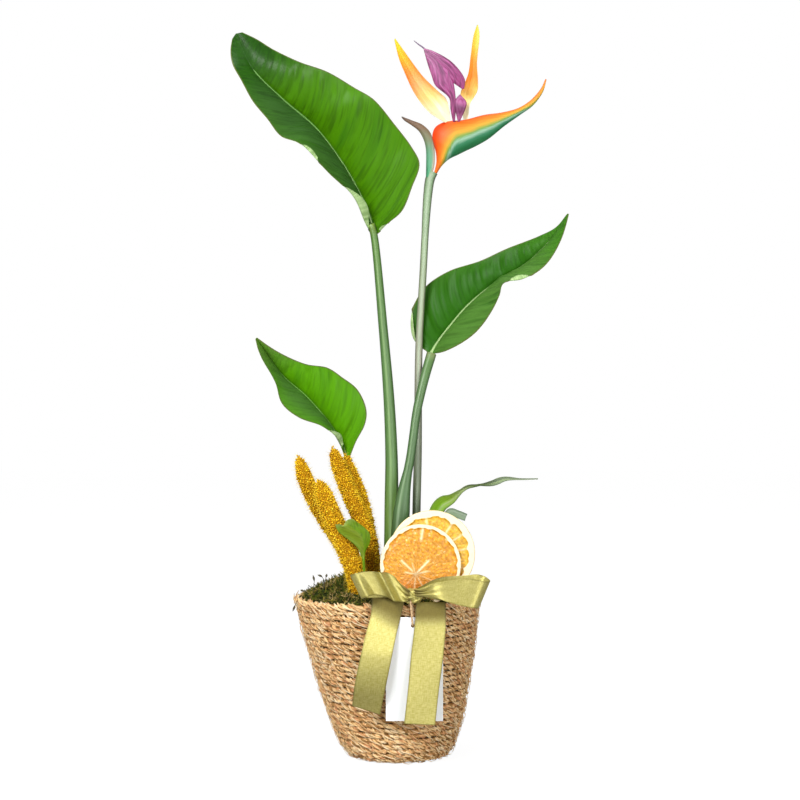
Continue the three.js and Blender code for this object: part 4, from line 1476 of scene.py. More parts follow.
SEPALS = (
    Sepal(
        "sepal_left",
        outer=[(-3.8, 5, 572.6), (0, 4, 557), (4.8, 3, 544.8), (11.2, 3, 531), (16.8, 3, 522.4),
               (23.6, 3, 514.4), (30.4, 3, 509.6), (36.4, 3, 506)],
        inner=[(-3, 5, 573.6), (4.8, 4.4, 562.4), (13.6, 5, 550.4), (20, 5, 542.4), (31.2, 6, 532),
               (37.6, 6, 526), (40, 5.4, 517.6), (41, 4, 506)],
        crease=3.4,
        finish=BloomSkin("left sepal", "sepal", 0.42, 0.4, glow=0.1, ramp=(
            (0, "#c4b834"), (0.08, "#e6c22c"), (0.22, "#f2ac30"), (0.36, "#f69846"),
            (0.5, "#f4b070"), (0.64, "#f6cc7c"), (0.8, "#efdfb0"), (1, "#eadfc0"),
        ), rim="#f27a10", rim_share=0.85),
    ),
    Sepal(
        "sepal_right",
        outer=[(62.8, 8, 585.6), (60, 7.4, 577), (57.6, 7, 560), (55.8, 7, 546.4), (52.4, 7, 536.8),
               (49.6, 7, 530.4), (50, 5, 520), (52, 4, 506)],
        inner=[(63.6, 8, 585.6), (64.8, 7.6, 577.6), (62.8, 8, 554.4), (63.6, 8.4, 540), (63.2, 8.4, 532),
               (60, 7, 525.6), (57.2, 5, 520.8), (55.2, 4, 506)],
        crease=1.4,
        finish=BloomSkin("right sepal", "sepal", 0.42, 0.4, glow=0.1, ramp=(
            (0, "#b8b834"), (0.06, "#e2c434"), (0.22, "#ecb630"), (0.38, "#f08c20"),
            (0.52, "#ee7e12"), (0.66, "#f6b444"), (0.78, "#f8d684"), (0.9, "#ece0b4"), (1, "#e2d8b0"),
        ), rim="#f28a14", rim_share=0.6),
    ),
)


BEAK = Hull(
    upper=[(28, 2, 463), (30.6, 2, 474), (30.4, 2, 481), (28.8, 2, 488), (27.4, 2, 494), (28.4, 2, 500),
           (31, 2, 503.6), (38.4, 2, 507), (52.8, 2, 508.4), (68.8, 2, 512.4), (83.2, 2, 514.4),
           (96, 2, 518), (105.6, 2, 524.2), (113.6, 2, 533.4), (117.2, 2, 541)],
    lower=[(29.6, 2, 463), (35.2, 2, 471.6), (40.8, 2, 476.8), (48, 2, 480.4), (54.4, 2, 483.6),
           (61.6, 2, 487), (72, 2, 493), (84.8, 2, 503.4), (96.8, 2, 512), (107.2, 2, 519.6),
           (115.2, 2, 530.4), (118.2, 2, 540.6)],
    depths=[2.2, 4.2, 6, 7.6, 8.4, 8.2, 7, 5, 3.2, 2, 1.2, 0.6], keel=1.25,
)
BRACT = Hull(
    upper=[(21.6, 2, 462), (21.8, 2, 472), (21.6, 2, 485), (20, 2, 492), (16, 2, 499.2), (10, 2, 504),
           (4, 2, 508), (1.8, 2, 510.6)],
    lower=[(25.4, 2, 462), (28.4, 2, 471), (28.8, 2, 483.6), (27.4, 2, 492.6), (24.4, 2, 499.4),
           (18.4, 2, 504.8), (10.4, 2, 508), (2.6, 2, 511)],
    depths=[3.2, 3.4, 3, 2.4, 2, 1.6, 1.2, 0.8], keel=1.1, sides=28,
)
LOBES = (
    Hull(
        upper=[(19.6, 0, 564.6), (27.2, 0, 562.2), (41.9, 0, 553.4), (51.9, 0, 539.8), (51.6, 0, 532.4)],
        lower=[(19.8, 0, 563.4), (24, 0, 556), (33, 0, 545.5), (40.6, 0, 538.6), (50, 0, 531.8)],
        depths=[0.5, 1.6, 2.1, 2, 0.8], keel=1.2, pleats=(3, 0.22), even=True,
    ),
    Hull(
        upper=[(19.8, 0, 564.4), (31, 0, 559), (41, 0, 548.5), (42.6, 0, 540), (44.4, 0, 528.6),
               (45, 0, 519), (44.2, 0, 506)],
        lower=[(19.4, 0, 563.8), (22.4, 0, 552.6), (25.6, 0, 543), (28.6, 0, 535), (39.6, 0, 524.6),
               (40.6, 0, 516), (42.4, 0, 506)],
        depths=[0.5, 1.7, 2.2, 2.1, 1.6, 1.2, 1], keel=1.2, pleats=(3, 0.22),
    ),
)
BUD = Hull(
    upper=[(48, -3.5, 527.6), (44, -3.5, 522), (44.4, -3.5, 515), (47, -1, 504)],
    lower=[(49.2, -3.5, 527.6), (54.4, -3.5, 521), (53.4, -3.5, 515), (48.4, -1, 504)],
    depths=[0.8, 2.6, 2.4, 0.8], keel=1.1, pleats=(2, 0.12), rows=50,
)
THREAD = Hull(
    upper=[(12, -5, 570.8), (15.9, -4.6, 567.9), (19.5, -4.3, 565.5), (21.5, -3, 564)],
    lower=[(11.8, -5, 570.2), (15.5, -4.6, 566.9), (18.9, -4.3, 564.3), (21, -3, 562.6)],
    depths=[0.3, 0.45, 0.6, 0.6], rows=24, sides=10,
)


@dataclass
class Flower:
    """The bird's head: a beaked spathe, a bract, two sepals and the violet petals."""

    # The ramp's pale sage stop is a painted highlight, a streak along the beak between its orange and its
    # dark green.
    skin: BloomSkin = BloomSkin("waxy spathe", "spathe", 0.5, 0.35, ramp=(
        (0, "#ea4206"), (0.16, "#f05c0a"), (0.32, "#ee7614"), (0.44, "#e09626"),
        (0.53, "#b09a2c"), (0.6, "#6a9440"), (0.68, "#8cb498"), (0.78, "#38805a"),
        (0.9, "#1f7040"), (1, "#2a7a48"),
    ))
    bract_skin: BloomSkin = BloomSkin("drying bract", "bract", 0.5, 0.4, ramp=(
        (0, "#3f9468"), (0.22, "#5a9472"), (0.42, "#6c7656"), (0.62, "#765f48"),
        (0.85, "#6a5242"), (1, "#4a3a34"),
    ), rim="#cfdccc", rim_share=0.75)
    violet: BloomSkin = BloomSkin("violet petal", "violet_petal", 0.5, 0.3, ramp=(
        (0, "#a66a90"), (0.25, "#9f5986"), (0.6, "#914274"), (1, "#8a3566"),
    ), rim="#7a2457", streak=0.7, lines=0.5)

    def spathe(self) -> None:
        """Model the beak: orange above and at its foot, green below, with a streak of painted highlight
        between.
        """
        over, under = (curve(line, 90) for line in (BEAK.upper, BEAK.lower))
        x, z = BEAK.body[..., 0], BEAK.body[..., 2]
        top = np.interp(x, over[40:, 0], over[40:, 2])
        keel = np.interp(x, under[:, 0], under[:, 2])
        level = np.clip((top - z) / np.maximum(top - keel, 0.5), 0, 1)
        # Where green starts: low near the foot, half way down along the beak, never at its tip.
        green = np.interp(x, [27, 31, 35, 39, 46, 64, 82, 99, 110, 118],
                          [1.8, 1.2, 0.8, 0.64, 0.5, 0.48, 0.58, 0.76, 1.3, 1.9])
        bloom = 0.12 + 0.44 * level / green + 0.14 * ease(x, 50, 110) - 0.22 * ease(x, 48, 30)
        rim = ease(BEAK.down, 0.05, 0) * ease(x, 100, 60)
        shell = BEAK.shell(seated("spathe", BEAK.body), np.clip(bloom, 0, 1), rim)
        show("spathe", "beak", [shell], self.skin)

    def bract(self) -> None:
        """Model the bract that clasps the stem and dries to brown at its tip."""
        pale = ease(BRACT.down, 0.55, 0.95) * ease(BRACT.share, 0.55, 0.1)
        shell = BRACT.shell(seated("bract", BRACT.body), BRACT.share, pale)
        show("bract", "sheath", [shell], self.bract_skin)

    def petals(self) -> None:
        """Model the arrow's two pleated lobes, the small petal and the stigma."""
        seat = seated("petal_arrow", np.concatenate([lobe.body for lobe in LOBES]))
        shells = [lobe.shell(
            seat, np.clip(lobe.share * 0.9 + 0.2 * cos(lobe.down * 22), 0, 1),
            ease(abs(lobe.down - 0.5), 0.4, 0.5),
        ) for lobe in LOBES]
        keep(make_piece("arrow_petals", shells, self.violet), "petal_arrow")
        narrow = (BUD.body - (49, 0, 0)) * (0.76, 1, 1) + (49, 0, 0)
        inner = abs(np.hypot((BUD.down - 0.5) * 2, (BUD.share - 0.5) * 1.6) - 0.45)
        small = BUD.shell(
            seated("petal_small", narrow), 0.3 + 0.5 * ease(inner, 0.12, 0),
            ease(abs(BUD.down - 0.5), 0.36, 0.5),
        )
        keep(make_piece("small_petal", [small], self.violet), "petal_small")
        # The node ends seven rings before the thread does, where it enters the petal.
        shell = THREAD.shell(seated("stigma", THREAD.body[:-7]), 0.8)
        stigma = BloomSkin("stigma", "violet_petal", 0.6, 0.3, ramp=((0, "#8c6a8e"), (1, "#6c5a74")))
        show("stigma", "thread", [shell], stigma)

    def build(self) -> None:
        """Make the whole flower."""
        self.spathe()
        self.bract()
        for sepal in SEPALS:
            sepal.build()
        self.petals()


# ---- dried and cut trimmings ----


@dataclass
class Millet:
    """A spike of foxtail millet: a brown core packed with dyed grains and bristles."""

    node: str
    path: Points
    radius: float
    seed: int
    grain: float = 1.8
    bristle: float = 4.2
    gap: float = 1.3
    stalk: float = 1.3
    core: GrainFinish = GrainFinish(
        "millet core", "millet", 0.9, 0.1, low="#8c620a", high="#c08a10", grain=1.5, depth=0.5,
    )
    dyed: ToneFinish = ToneFinish("dyed millet grains", "millet", 0.65, 0.3, tones=(
        "#bc8c06", "#d0a008", "#e2b20a", "#ecc210", "#f6d634",
    ), patch=9)

    def rod(self) -> Shell:
        """Model the stalk and the lumpy core.

        Returns:
            The core, in place, with a measure of 1 where grains grow.
        """
        girth = [0.8, 0.94, 1, 1, 1, 0.99, 0.96, 0.9, 0.5]
        line = curve(self.path, 130)
        share = np.linspace(0, 1, len(line))
        whole = along([self.stalk] * 3 + [part * self.radius for part in girth], share)
        radius = whole * np.sqrt(1 - 0.97 * ease(share, 0.955, 1) ** 2)
        inset = radius - 0.8 * self.grain * ease(share, 0.18, 0.24)

        def lumps(place: Array, angle: Array) -> Array:
            """Bunches of grains stand out in a spiral all the way up."""
            return 1 + 0.08 * sin(place * 150 + angle * 3) * cos(angle * 2 - place * 60)

        seat = seated(self.node, sweep(line, whole, whole, 16))
        grows = ease(share, 0.17, 0.2)[:, None]
        return Shell.tube(seat(sweep(line, inset, inset, 20, lumps)), {"grows": grows})

    def spindle(self, sides: int, rings: Sequence[Pair], size: float) -> Shell:
        """Model a grain or a bristle from its rings, each a radius and a height."""
        turn = around(sides)
        return Shell.tube(np.array([
            np.stack([out * cos(turn), out * sin(turn), up + 0 * turn], -1)
            for out, up in rings
        ]) * size * MM)

    def grains(self, core: Thing) -> Thing:
        """Pack the core with grains and set bristles between them.

        Args:
            core: the core, which is left as it is.

        Returns:
            All the grains and bristles.
        """
        grain = self.spindle(5, [(0.05, -0.3), (0.42, 0), (0.4, 0.45), (0.06, 1)], self.grain)
        recipe = Recipe("millet spike", {
            "Gap": self.gap * MM, "Bristles": 700000.0, "Seed": self.seed, "Grain": grain,
            "Bristle": self.spindle(3, [(0.08, 0), (0.02, self.bristle)], 1),
            "Finish": self.dyed.material(),
        })
        add, inputs = recipe.add, recipe.inputs
        grows = recipe.attribute("grows")
        packed = {"Distance Min": inputs["Gap"], "Density Max": 1500000, "Density Factor": grows}
        branches = []
        for shape, way, spacing, lean_by, least, dark in (
            ("Grain", "POISSON", packed, 0.7, 0.65, 0.1),
            ("Bristle", "RANDOM", {"Density": inputs["Bristles"]}, 0.5, 0.5, 0.8),
        ):
            points = add("DistributePointsOnFaces", {
                "Mesh": inputs["Geometry"], "Seed": inputs["Seed"], **spacing,
            }, distribute_method=way)
            bare = add("FunctionNodeCompare", (grows, 0.5), operation="LESS_THAN")
            kept = add("DeleteGeometry", (points, bare))
            branches.append(recipe.scatter(
                kept, points.outputs["Rotation"], shape, (-lean_by, -lean_by, 0),
                (lean_by, lean_by, 6.283), (least, 1.1), (dark, 0.9), 3,
            ))
        return recipe.bake(put("spike ground", core.data.copy()), f"{self.node}_grains", branches)

    def build(self) -> None:
        """Make the spike's core and everything that grows on it."""
        core = make_piece(f"{self.node}_core", [self.rod()], self.core)
        keep(self.grains(core), self.node)
        keep(core, self.node)


MILLETS = (
    Millet(
        "millet_spike_1",
        [(-27, -19, 86), (-29, -20, 122), (-32, -22, 144), (-39, -22, 161), (-51.5, -21.6, 181),
         (-64, -21, 201), (-73.6, -20, 221), (-79.6, -18, 240)], 7.4, 21,
    ),
    Millet(
        "millet_spike_2",
        [(-29, -36, 86), (-31, -37, 124), (-33.6, -39, 149), (-40.4, -39.4, 167), (-48.4, -39.4, 185),
         (-56.6, -39, 204), (-63, -38, 222)], 8.6, 22,
    ),
    Millet(
        "millet_spike_3",
        [(-18, -12, 86), (-19, -12, 124), (-21, -12, 150), (-23.6, -12, 171), (-30, -12, 189),
         (-39, -12, 209), (-47, -12, 229), (-53, -12, 247)], 7.2, 23,
    ),
    Millet(
        "millet_spike_4",
        [(-20, 4, 86), (-21, 4, 124), (-21.6, 4, 149), (-23, 4, 166), (-26, 4, 184), (-30.6, 4, 204),
         (-38, 3, 224), (-43, 2, 241)], 6.8, 24,
    ),
)


@dataclass
class CutLeaf:
    """The small leaf: a wedge, cut off square, that narrows into its stalk."""

    left: Points = (
        (-28.4, -48.6, 160.4), (-31.6, -50, 169), (-39, -51, 176), (-47, -51.4, 182.6),
        (-49.4, -51, 188.4),
    )
    right: Points = (
        (-26.6, -48.6, 160.4), (-25.6, -48, 167), (-22.6, -47.4, 173), (-22.6, -47.4, 180.6),
        (-30, -49, 188), (-36.4, -50, 192.4),
    )
    stalk: Points = ((-25, -46, 96), (-26, -47.4, 132), (-27.4, -48.6, 161))
    face: LeafFace = LeafFace(
        "cut leaf", "cut_leaf", 0.45, 0.15, sunny="#5c7e08", dull="#6a7e1a", furrow="#4c6c0c",
        rib="#8aa642", tip="#8fa058", margin="#7a8c4a",
    )

    def build(self) -> None:
        """Make the cut leaf and its stalk."""
        left, right = curve(self.left, 60), curve(self.right, 60)
        share, place = np.linspace(0, 1, 28), from_to(60)
        flat, width = between(left, right, share)
        side = 2 * share - 1.2
        bulge = 1.4 * (1 - (2 * share - 1) ** 2) - 0.7 * bump(side, 0, 0.1) * (1 - 0.6 * place)
        notch = 3.2 * ease(place, 0.86, 1) * (bump(share, 0.42, 0.16) + 0.4 * bump(share, 0.1, 0.1))
        wave = 0.8 * sin(share * 9 + place * 5) * place
        flat += np.stack([0.3 * notch, -(bulge * width / width.max() + wave), -notch], -1)
        out = abs(side) * width
        stem = sweep(curve(self.stalk, 40), np.full(40, 1.1), np.full(40, 1), 12)
        seat = seated("cut_leaf", np.vstack([flat.reshape(-1, 3), stem.reshape(-1, 3)]))
        show("cut_leaf", "blade", [
            Shell.slab(seat(flat), seat(flat + (0, 0.35, 0)), {
                "place": place * 0.8, "vein": (place * 42 - 0.8 * out) * MM, "rib": out * MM,
                "side": side, "rib_share": out / 0.6 + 4 * place, "margin": 0.01,
            }),
            Shell.tube(seat(stem), {"side": 1, "margin": 0.01, "rib_share": 2}),
        ], self.face)


@dataclass
class Grass:
    """One blade of grass, folded along its middle and twisted as it goes."""

    node: str
    path: Points
    widths: Row  # half its width
    depths: Row  # half the CAD node's depth
    turns: Row  # how far it is twisted, in radians
    finish: FibreSkin
    spread: Row = (1, 1)  # how much broader than the CAD node

    def build(self) -> None:
        """Make the blade of grass."""
        line = curve(self.path, 150)
        share = np.linspace(0, 1, len(line))
        half = along(self.widths, share)
        seat = seated(self.node, sweep(line, half, along(self.depths, share), 12))
        half = half * along(self.spread, share)
        across = np.linspace(-1, 1, 11)
        rings = sweep(line, half, half, 4)
        wide, deep = unit(rings[:, 0] - line), unit(rings[:, 1] - line)
        twist = along(self.turns, share)[:, None]
        way = (cos(twist) * wide + sin(twist) * deep)[:, None]
        face = (sin(twist) * wide - cos(twist) * deep)[:, None]
        fold = 0.35 * (1 - abs(across)) + 0.03 * sin(across * 20)
        reach = half[:, None] * across
        sheet = line[:, None] + way * reach[..., None] - face * (fold * half[:, None])[..., None]
        back = sheet - face * (0.3 * (1.05 - abs(across)))[:, None]
        show(self.node, "strip", [Shell.slab(seat(sheet), seat(back), {
            "share": share[:, None], "turn": across, "along": walked(line)[:, None] * MM,
            "across": reach * MM,
        })], self.finish)


GRASS = (
    Grass(
        "grass_blade",
        [(26.4, -33, 100), (26.8, -33, 165), (28, -32, 193), (33, -31.6, 202.4), (41, -31, 206.6),
         (47, -31, 211.4), (53.6, -31, 215.8), (60.4, -31, 217), (72.8, -31, 218.8), (83, -30.6, 222.2),
         (96.4, -30, 222), (109, -29, 222.2)],
        [2.6, 2.8, 3, 3.2, 3.4, 3.8, 4.2, 2.6, 1.1, 2, 1, 0.7, 0.5],
        [0.8, 0.8, 0.8, 0.8, 0.8, 0.8, 0.8, 0.7, 0.7, 0.6, 0.5, 0.5, 0.4],
        [0, 0, 0, 0, 0, 0.1, 0, 0, 0.3, 1.2, 0.2, 0.3, 0.2],
        FibreSkin("cut grass", "grass", 0.5, 0.3, lengthwise=(
            (0, "#4a7a1c"), (0.56, "#6c9808"), (0.62, "#74902e"), (0.68, "#7c8c5c"),
            (0.74, "#64804a"), (0.8, "#7c8e6c"), (1, "#84907a"),
        ), stripe="#8a9c60", stripe_at=0.3, stripe_width=0.25, edge="#566c30", fibre=0.5),
        spread=[1, 1, 1, 1, 1, 1.2, 1.3, 2, 1.6, 1.2, 2.6, 1.2, 1],
    ),
    Grass(
        "grass_end",
        [(35, -38.6, 100), (36, -38.4, 165), (36.6, -38, 190), (40, -37.6, 197.8), (45.6, -37.4, 196.4),
         (52.4, -37, 193.8)],
        [2.4, 2.6, 2.8, 3, 3, 3.6, 3], [0.8, 0.8, 0.8, 0.8, 0.8, 0.8, 0.7],
        [0, 0, 0, 0.2, -0.3, -0.4, -0.2],
        FibreSkin("grass back", "grass", 0.55, 0.3, lengthwise=(
            (0, "#4a7a1c"), (0.7, "#6a8254"), (1, "#788a72"),
        ), stripe="#8c9c88", stripe_at=-0.4, stripe_width=0.4, edge="#465a48", fibre=0.5),
    ),
)


@dataclass
class OrangeSlice:
    """A dried slice of orange: sunken segments, a ring of pith and thin peel."""

    node: str
    radius: float
    core: Pair  # where the skins meet, from the middle
    pith: float  # the width of the pale ring
    scallop: float  # how far it reaches in between segments
    # Each skin between two segments: its angle in degrees, how plainly it shows, and
    # where it starts and ends, from 0 at the core to 1 at the pith.
    skins: tuple[tuple[float, ...], ...]
    finish: CitrusFlesh
    half: float = 2.2  # half its thickness at the rind
    tilt: float = 5  # degrees that its top leans back
    spokes: int = 220
    rows: int = 56

    def out_to(self, turn: Array, reach: Array | float) -> Array:
        """How far it is from the core to a circle round the slice's middle."""
        inward = self.core[0] * cos(turn) + self.core[1] * sin(turn)
        return -inward + np.sqrt(reach ** 2 - self.core[0] ** 2 - self.core[1] ** 2 + inward ** 2)

    def side(self, rows: int) -> tuple[Array, Measures]:
        """Model one face, from the core out to the rind.

        Args:
            rows: how many rings of points the pulp has.

        Returns:
            The points, as sideways, up and forward, and the measures of the finish.
        """
        seams = np.sort(np.radians([angle for angle, *_ in self.skins]))
        turn = seams[0] + around(self.spokes)
        ends = np.append(seams, seams[0] + 2 * pi)
        segment = np.clip(np.searchsorted(ends, turn, side="right") - 1, 0, len(seams) - 1)
        inside = (turn - ends[segment]) / (ends[segment + 1] - ends[segment])
        round_end = sin(pi * np.clip(inside, 0, 1)) ** 0.45
        edge = self.out_to(turn, self.radius - self.pith - self.scallop * (1 - round_end))
        edge = edge + 0.35 * sin(turn * 23) + 0.2 * sin(turn * 41 + 2)
        outside = self.out_to(turn, self.radius)
        share = np.append(np.linspace(0.012, 1, rows) ** 0.85, np.ones(6))[:, None]
        beyond = np.append(np.zeros(rows), [0.05, 0.3, 0.62, 0.86, 0.97, 1])[:, None]
        reach = edge * share + (outside - edge) * beyond
        pulp = ease(share, 1, 0.97) * (beyond <= 0)
        skin = 0.9 * bump(reach, 0, 1.5)
        for angle, strength, start, end in self.skins:
            apart = turn_off(turn, radians(angle)) * reach
            shown = ease(share, start - 0.05, start + 0.05) * ease(share, end + 0.05, end - 0.03)
            skin = np.maximum(skin, bump(apart, 0, 0.42 + 0.4 * strength) * shown * strength)
        skin = skin * (beyond <= 0)
        swing = (turn * self.radius * 0.55)[None] + 0 * reach
        sacs = sin(reach * 2.1 + 2.5 * sin(swing * 1.4)) * sin(swing * 2.9 + sin(reach))
        forward = self.half - 0.8 * pulp + (0.28 * sacs - 0.35 * bump(share, 0.93, 0.05)) * pulp
        forward = forward + 0.45 * skin * pulp - 0.2 * (1 - pulp) * sin(turn * 5) ** 2
        forward = np.where(beyond >= 0.97, self.half * (0.8 - 0.5 * (beyond - 0.97) / 0.03), forward)
        up = self.core[1] + reach * sin(turn)
        points = np.stack([self.core[0] + reach * cos(turn), up, forward], -1)
        return points, {
            "reach": reach * MM, "swing": swing * MM, "skin": skin,
            "damp": 0.75 * ease(up / self.radius, -0.1, -0.85) + 0 * reach,
            "pith": ease(beyond, 0, 0.04) + 0 * reach, "peel": ease(beyond, 0.93, 0.98) + 0 * reach,
        }

    def build(self) -> None:
        """Make the slice, leaning in its node's place."""
        front, measures = self.side(self.rows)
        back, behind = self.side(self.rows // 2)
        across, up, forward = np.moveaxis(np.concatenate([front, back[::-1] * (1, 1, -1)]), -1, 0)
        lean_by, rise = sin(radians(self.tilt)), cos(radians(self.tilt))
        stood = np.stack([across, up * lean_by - forward * rise, up * rise + forward * lean_by], -1)
        show(self.node, "dried", [Shell.tube(seated(self.node, stood)(stood), {
            name: np.concatenate([value, behind[name][::-1]]) for name, value in measures.items()
        })], self.finish)


SLICES = (
    OrangeSlice(
        "orange_slice_front", 31.2, core=(-3.7, -7), pith=2.6, scallop=0.5,
        skins=(
            (81, 1, 0.72, 1), (137, 0.9, 0.1, 0.52), (45, 1, 0, 0.4),
            (12, 0.7, 0, 0.3), (-22, 0.3, 0, 0.5), (-60, 0.45, 0, 0.6),
            (-95, 0.5, 0, 0.7), (-132, 0.3, 0, 0.5), (172, 0.7, 0, 0.34), (108, 0.5, 0, 0.26),
        ),
        finish=CitrusFlesh("front dried orange", "dried_orange", 0.42, 0.5),
    ),
    OrangeSlice(
        "orange_slice_back", 33.3, core=(-1, -1.5), pith=4.6, scallop=2.4,
        skins=(
            (97, 0.8, 0.4, 1), (56, 0.8, 0.4, 1), (33, 0.7, 0.6, 1), (10, 0.6, 0.6, 1),
            (-22, 0.5, 0.4, 1), (-58, 0.5, 0.4, 1), (-96, 0.5, 0.4, 1),
            (-136, 0.5, 0.4, 1), (178, 0.6, 0.4, 1), (138, 0.6, 0.4, 1),
        ),
        finish=CitrusFlesh(
            "back dried orange", "dried_orange", 0.42, 0.5, sac="#e4ae26", sac_deep="#c5860e",
            sac_light="#f6d874",
        ),
    ),
)


# ---- bow and tag ----


class Hold(Enum):
    """How a length of the ribbon is held."""

    HUNG = "hung"
    FOLDED = "folded"
    GATHERED = "gathered"


RIBBON_WIDTH = 25
RIBBON_WALL = 0.35
SATIN = Satin("olive satin ribbon", "satin_ribbon")


@dataclass
class Ribbon:
    """A length of ribbon between its two edges, pleated where the knot grips it."""

    node: str
    upper: Points
    lower: Points
    flat_length: float  # millimetres, before it was tied
    hold: Hold = Hold.FOLDED
    rests_on: tuple[str, ...] = ("ribbon_knot",)
    # Where the knot stops crushing the cloth matt and its painted shade ends, and where its shine is
    # whole.
    pressed: Pair = (0, 0.14)
    slant: float = 0  # how much further that reaches along the second edge
    pleats: Pair = (2.6, 2.4)  # how deep at its start and at its end
    rows: int = 150
    columns: int = 30

    def build(self) -> None:
        """Make the ribbon."""
        upper, lower = (curve(line, self.rows, False) for line in (self.upper, self.lower))
        share, place = np.linspace(0, 1, self.columns), from_to(self.rows)
        flat, _ = between(upper, lower, share)
        facing = unit(np.cross(unit(np.gradient(flat, axis=0)), np.gradient(flat, axis=1)))
        facing = facing * np.sign(-facing[self.rows // 5, self.columns // 2, 1])
        near, far = self.pleats
        grip = near * ease(place, 0.3, 0) ** 1.3 + far * ease(place, 0.72, 1) ** 1.3
        crease = sin(2 * pi * (2.6 * share + 0.6 * place) + 0.9) * (1 - 0.3 * share)
        rise = grip * crease * 0.5 + 0.25 * sin(place * 9 + share * 3)
        sheet = flat + facing * rise[..., None]
        from_middle = abs(2 * share - 1)
        wall = RIBBON_WALL * (0.5 + 0.5 * ease(1 - from_middle, 0, 0.1))
        seat = seated(self.node, flat)
        free = ease(place - self.slant * (share - 0.5), *self.pressed)
        weft = unit(np.gradient(sheet, axis=1))
        piece = show(self.node, "satin", [
            Shell.slab(seat(sheet), seat(sheet - facing * wall[:, None]), {
                "along": place * self.flat_length * MM, "across": share * RIBBON_WIDTH * MM,
                "hem": 0.6 * ease(from_middle, 0.9, 0.97),
                # Near the knot and down the tails' tops the cloth is matt and painted darker, painted
                # shade for the loops' shadow; the creases are painted darker too.
                "pressed": np.clip(1 - free + 0.7 * ease(-grip * crease, 0.5, 1.8), 0, 1),
                **{f"weft_{axis}": weft[..., i] for i, axis in enumerate("xyz")},
            }),
        ], SATIN)


RIBBONS = (
    Ribbon(
        "ribbon_loop_left",
        upper=[(8, -85, 141.5), (2, -85.5, 147), (-4, -85, 153.6), (-9.5, -86.4, 156.6),
               (-14.4, -93, 157.3), (-19.5, -91, 157.6), (-27, -92.5, 157.6), (-33, -94, 156.4),
               (-36.4, -89, 154.6), (-33, -81, 155), (-16, -78, 155), (6, -80, 142)],
        lower=[(8, -86, 133.6), (5.6, -84, 132.4), (4, -83.5, 132.2), (1, -85, 132.8), (-3.5, -92.5, 134),
               (-9, -84.6, 136.2), (-17.6, -86, 138.4), (-23.5, -91.5, 137.4), (-28, -88, 135.3),
               (-25, -83, 135.5), (-12, -79, 135), (6, -80, 136)],
        flat_length=92,
    ),
    Ribbon(
        "ribbon_loop_right",
        upper=[(12, -84, 141), (19, -87, 141.2), (26, -91, 146.4), (41, -92, 149.5), (54, -92, 151),
               (65.6, -91.4, 148.6), (69.7, -86, 148.3), (66, -81, 151.4), (60, -80, 153.2),
               (51, -79, 152.2), (30, -77.6, 150), (14, -79, 142)],
        lower=[(12, -86, 135.5), (19, -88, 136.2), (28.6, -92, 135), (36, -93.5, 132.3), (46, -94, 129.4),
               (57, -93.6, 127.2), (60.6, -87, 126.8), (58.6, -83, 129), (55, -80.6, 130), (50, -80, 131),
               (30, -78, 132), (14, -79, 136)],
        flat_length=114,
    ),
    Ribbon(
        "ribbon_tail_left",
        upper=[(-20.4, -81, 134), (-21, -83, 121.7), (-25, -86.4, 107), (-29, -88.4, 90),
               (-33.2, -86.4, 70), (-35.6, -73, 51)],
        lower=[(5.4, -79.4, 133.4), (2, -82, 119.5), (-1.5, -84.5, 106), (-5.3, -87, 88),
               (-9.8, -85.6, 66), (-13.9, -73, 44)],
        flat_length=92, hold=Hold.HUNG, rests_on=("ribbon_knot", "basket"),
        pleats=(0.6, 0), pressed=(0.1, 0.34), slant=0.16,
    ),
    Ribbon(
        "ribbon_tail_right",
        upper=[(12.8, -81.4, 130.8), (11.9, -84.6, 114.7), (9.1, -86.6, 91.3), (6.8, -88.4, 66),
               (3.8, -90.4, 40)],
        lower=[(35.5, -81.4, 130.8), (35.5, -84.6, 114.7), (33.7, -86.6, 91.6), (30.3, -88.4, 66),
               (27.3, -90.4, 39)],
        flat_length=94, hold=Hold.HUNG, rests_on=("ribbon_knot", "gift_tag"),
        pleats=(0.6, 0), pressed=(0.14, 0.3),
    ),
)


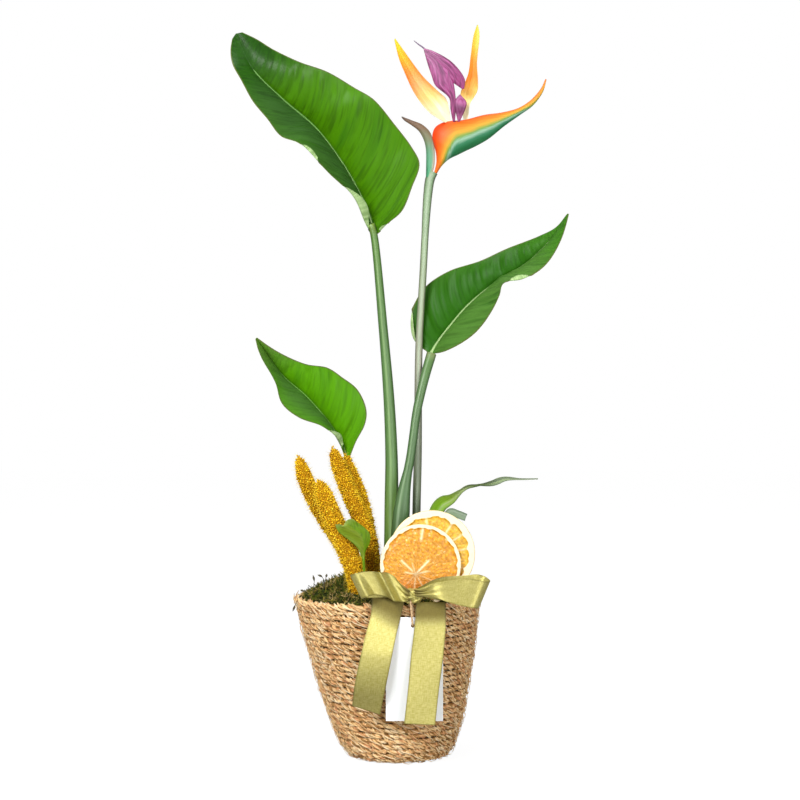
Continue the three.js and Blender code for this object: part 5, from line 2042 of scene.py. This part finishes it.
@dataclass
class Knot:
    """The knot: one crumpled turn of the ribbon, pulled tight."""

    radii: Spot = (7.6, 9.8, 8.4)
    rows: int = 90
    sides: int = 110
    flat_length: float = 21.5

    def build(self) -> None:
        """Make the knot."""
        level = np.linspace(0.02, 0.98, self.rows)[:, None] * pi
        turn = around(self.sides)
        across = cos(level) + 0 * turn
        ball = np.stack([across, sin(level) * cos(turn), sin(level) * sin(turn)], -1) * self.radii
        # Three sets of sharp folds cross; the band is pinched in at its middle.
        folds = (
            0.2 * abs(sin(turn * 3.5 + 1.6 * across)) ** 0.6
            + 0.14 * abs(sin(turn * 2 - 4.2 * across + 1)) ** 0.6
            + 0.07 * abs(sin(turn * 7 + 3 * across + 2)) - 0.24
        )
        reach = (0.8 + 0.2 * abs(across)) * (1 + 1.2 * folds * sin(level) ** 0.5)
        points = ball * np.stack([np.ones_like(reach), reach, reach * 0.78], -1) + (0, 0, 1.2)
        piece = show("ribbon_knot", "satin", [Shell.tube(seated("ribbon_knot", ball)(points), {
            "along": turn * 8 * MM, "across": (1 + across) / 2 * RIBBON_WIDTH * MM, "hem": 0,
            # The knot's fold valleys are matt and painted darker, painted shade in its creases.
            "pressed": 0.8 * ease(folds, -0.02, -0.16), "weft_x": 1,
        })], SATIN)


@dataclass
class Twine:
    """The loop of two-ply twine from the knot through the tag's eyelet."""

    route: Points = (
        (8.6, -82.6, 134), (9.2, -83, 126), (9.9, -82.6, 118), (10.2, -81.4, 114.4),
        (10.4, -79, 113.2), (10.6, -76.8, 114.4), (10.6, -75.8, 118), (10.4, -76.2, 126), (10.2, -77, 134),
    )
    radius: float = 0.75
    lay: float = 4.5  # length of one turn of the plies
    rows: int = 190
    finish: GrainFinish = GrainFinish(
        "jute twine", "twine", 0.9, 0.1, low="#b08a60", high="#ddc09a", grain=0.8, depth=0.2,
    )

    def build(self) -> None:
        """Make the twine."""
        line = curve(self.route, self.rows)
        length = walked(line)[-1]
        girth = np.full(self.rows, self.radius)

        def plies(share: Array, angle: Array) -> Array:
            """Two plies side by side, turning as they go."""
            turned = angle - 2 * pi * share * length / self.lay
            return 0.62 + 0.38 * abs(cos(turned))

        cord = Shell.tube(sweep(line, girth, girth, 16, plies, toward=(1, 0, 0)) * MM)
        piece = show("tag_twine", "cord", [cord], self.finish)


PAPER = GrainFinish(
    "white card", "tag_card", 0.75, 0.3, low="#f2f5f8", high="#fafcfd", grain=0.4, depth=0.02,
)


# ---- the whole plant ----


def main() -> None:
    """Build the studio and every sub-assembly, and dress the tag."""
    logging.basicConfig(level=logging.INFO, format="%(message)s")
    for part in (
        Studio(), Twine(), Basket(), Moss(), *LEAVES, *STALKS, *MILLETS, *SLICES, *RIBBONS,
        Flower(), CutLeaf(), *GRASS, Knot(),
    ):
        part.build()
    dress("gift_tag", PAPER)


if __name__ == "__main__":
    main()
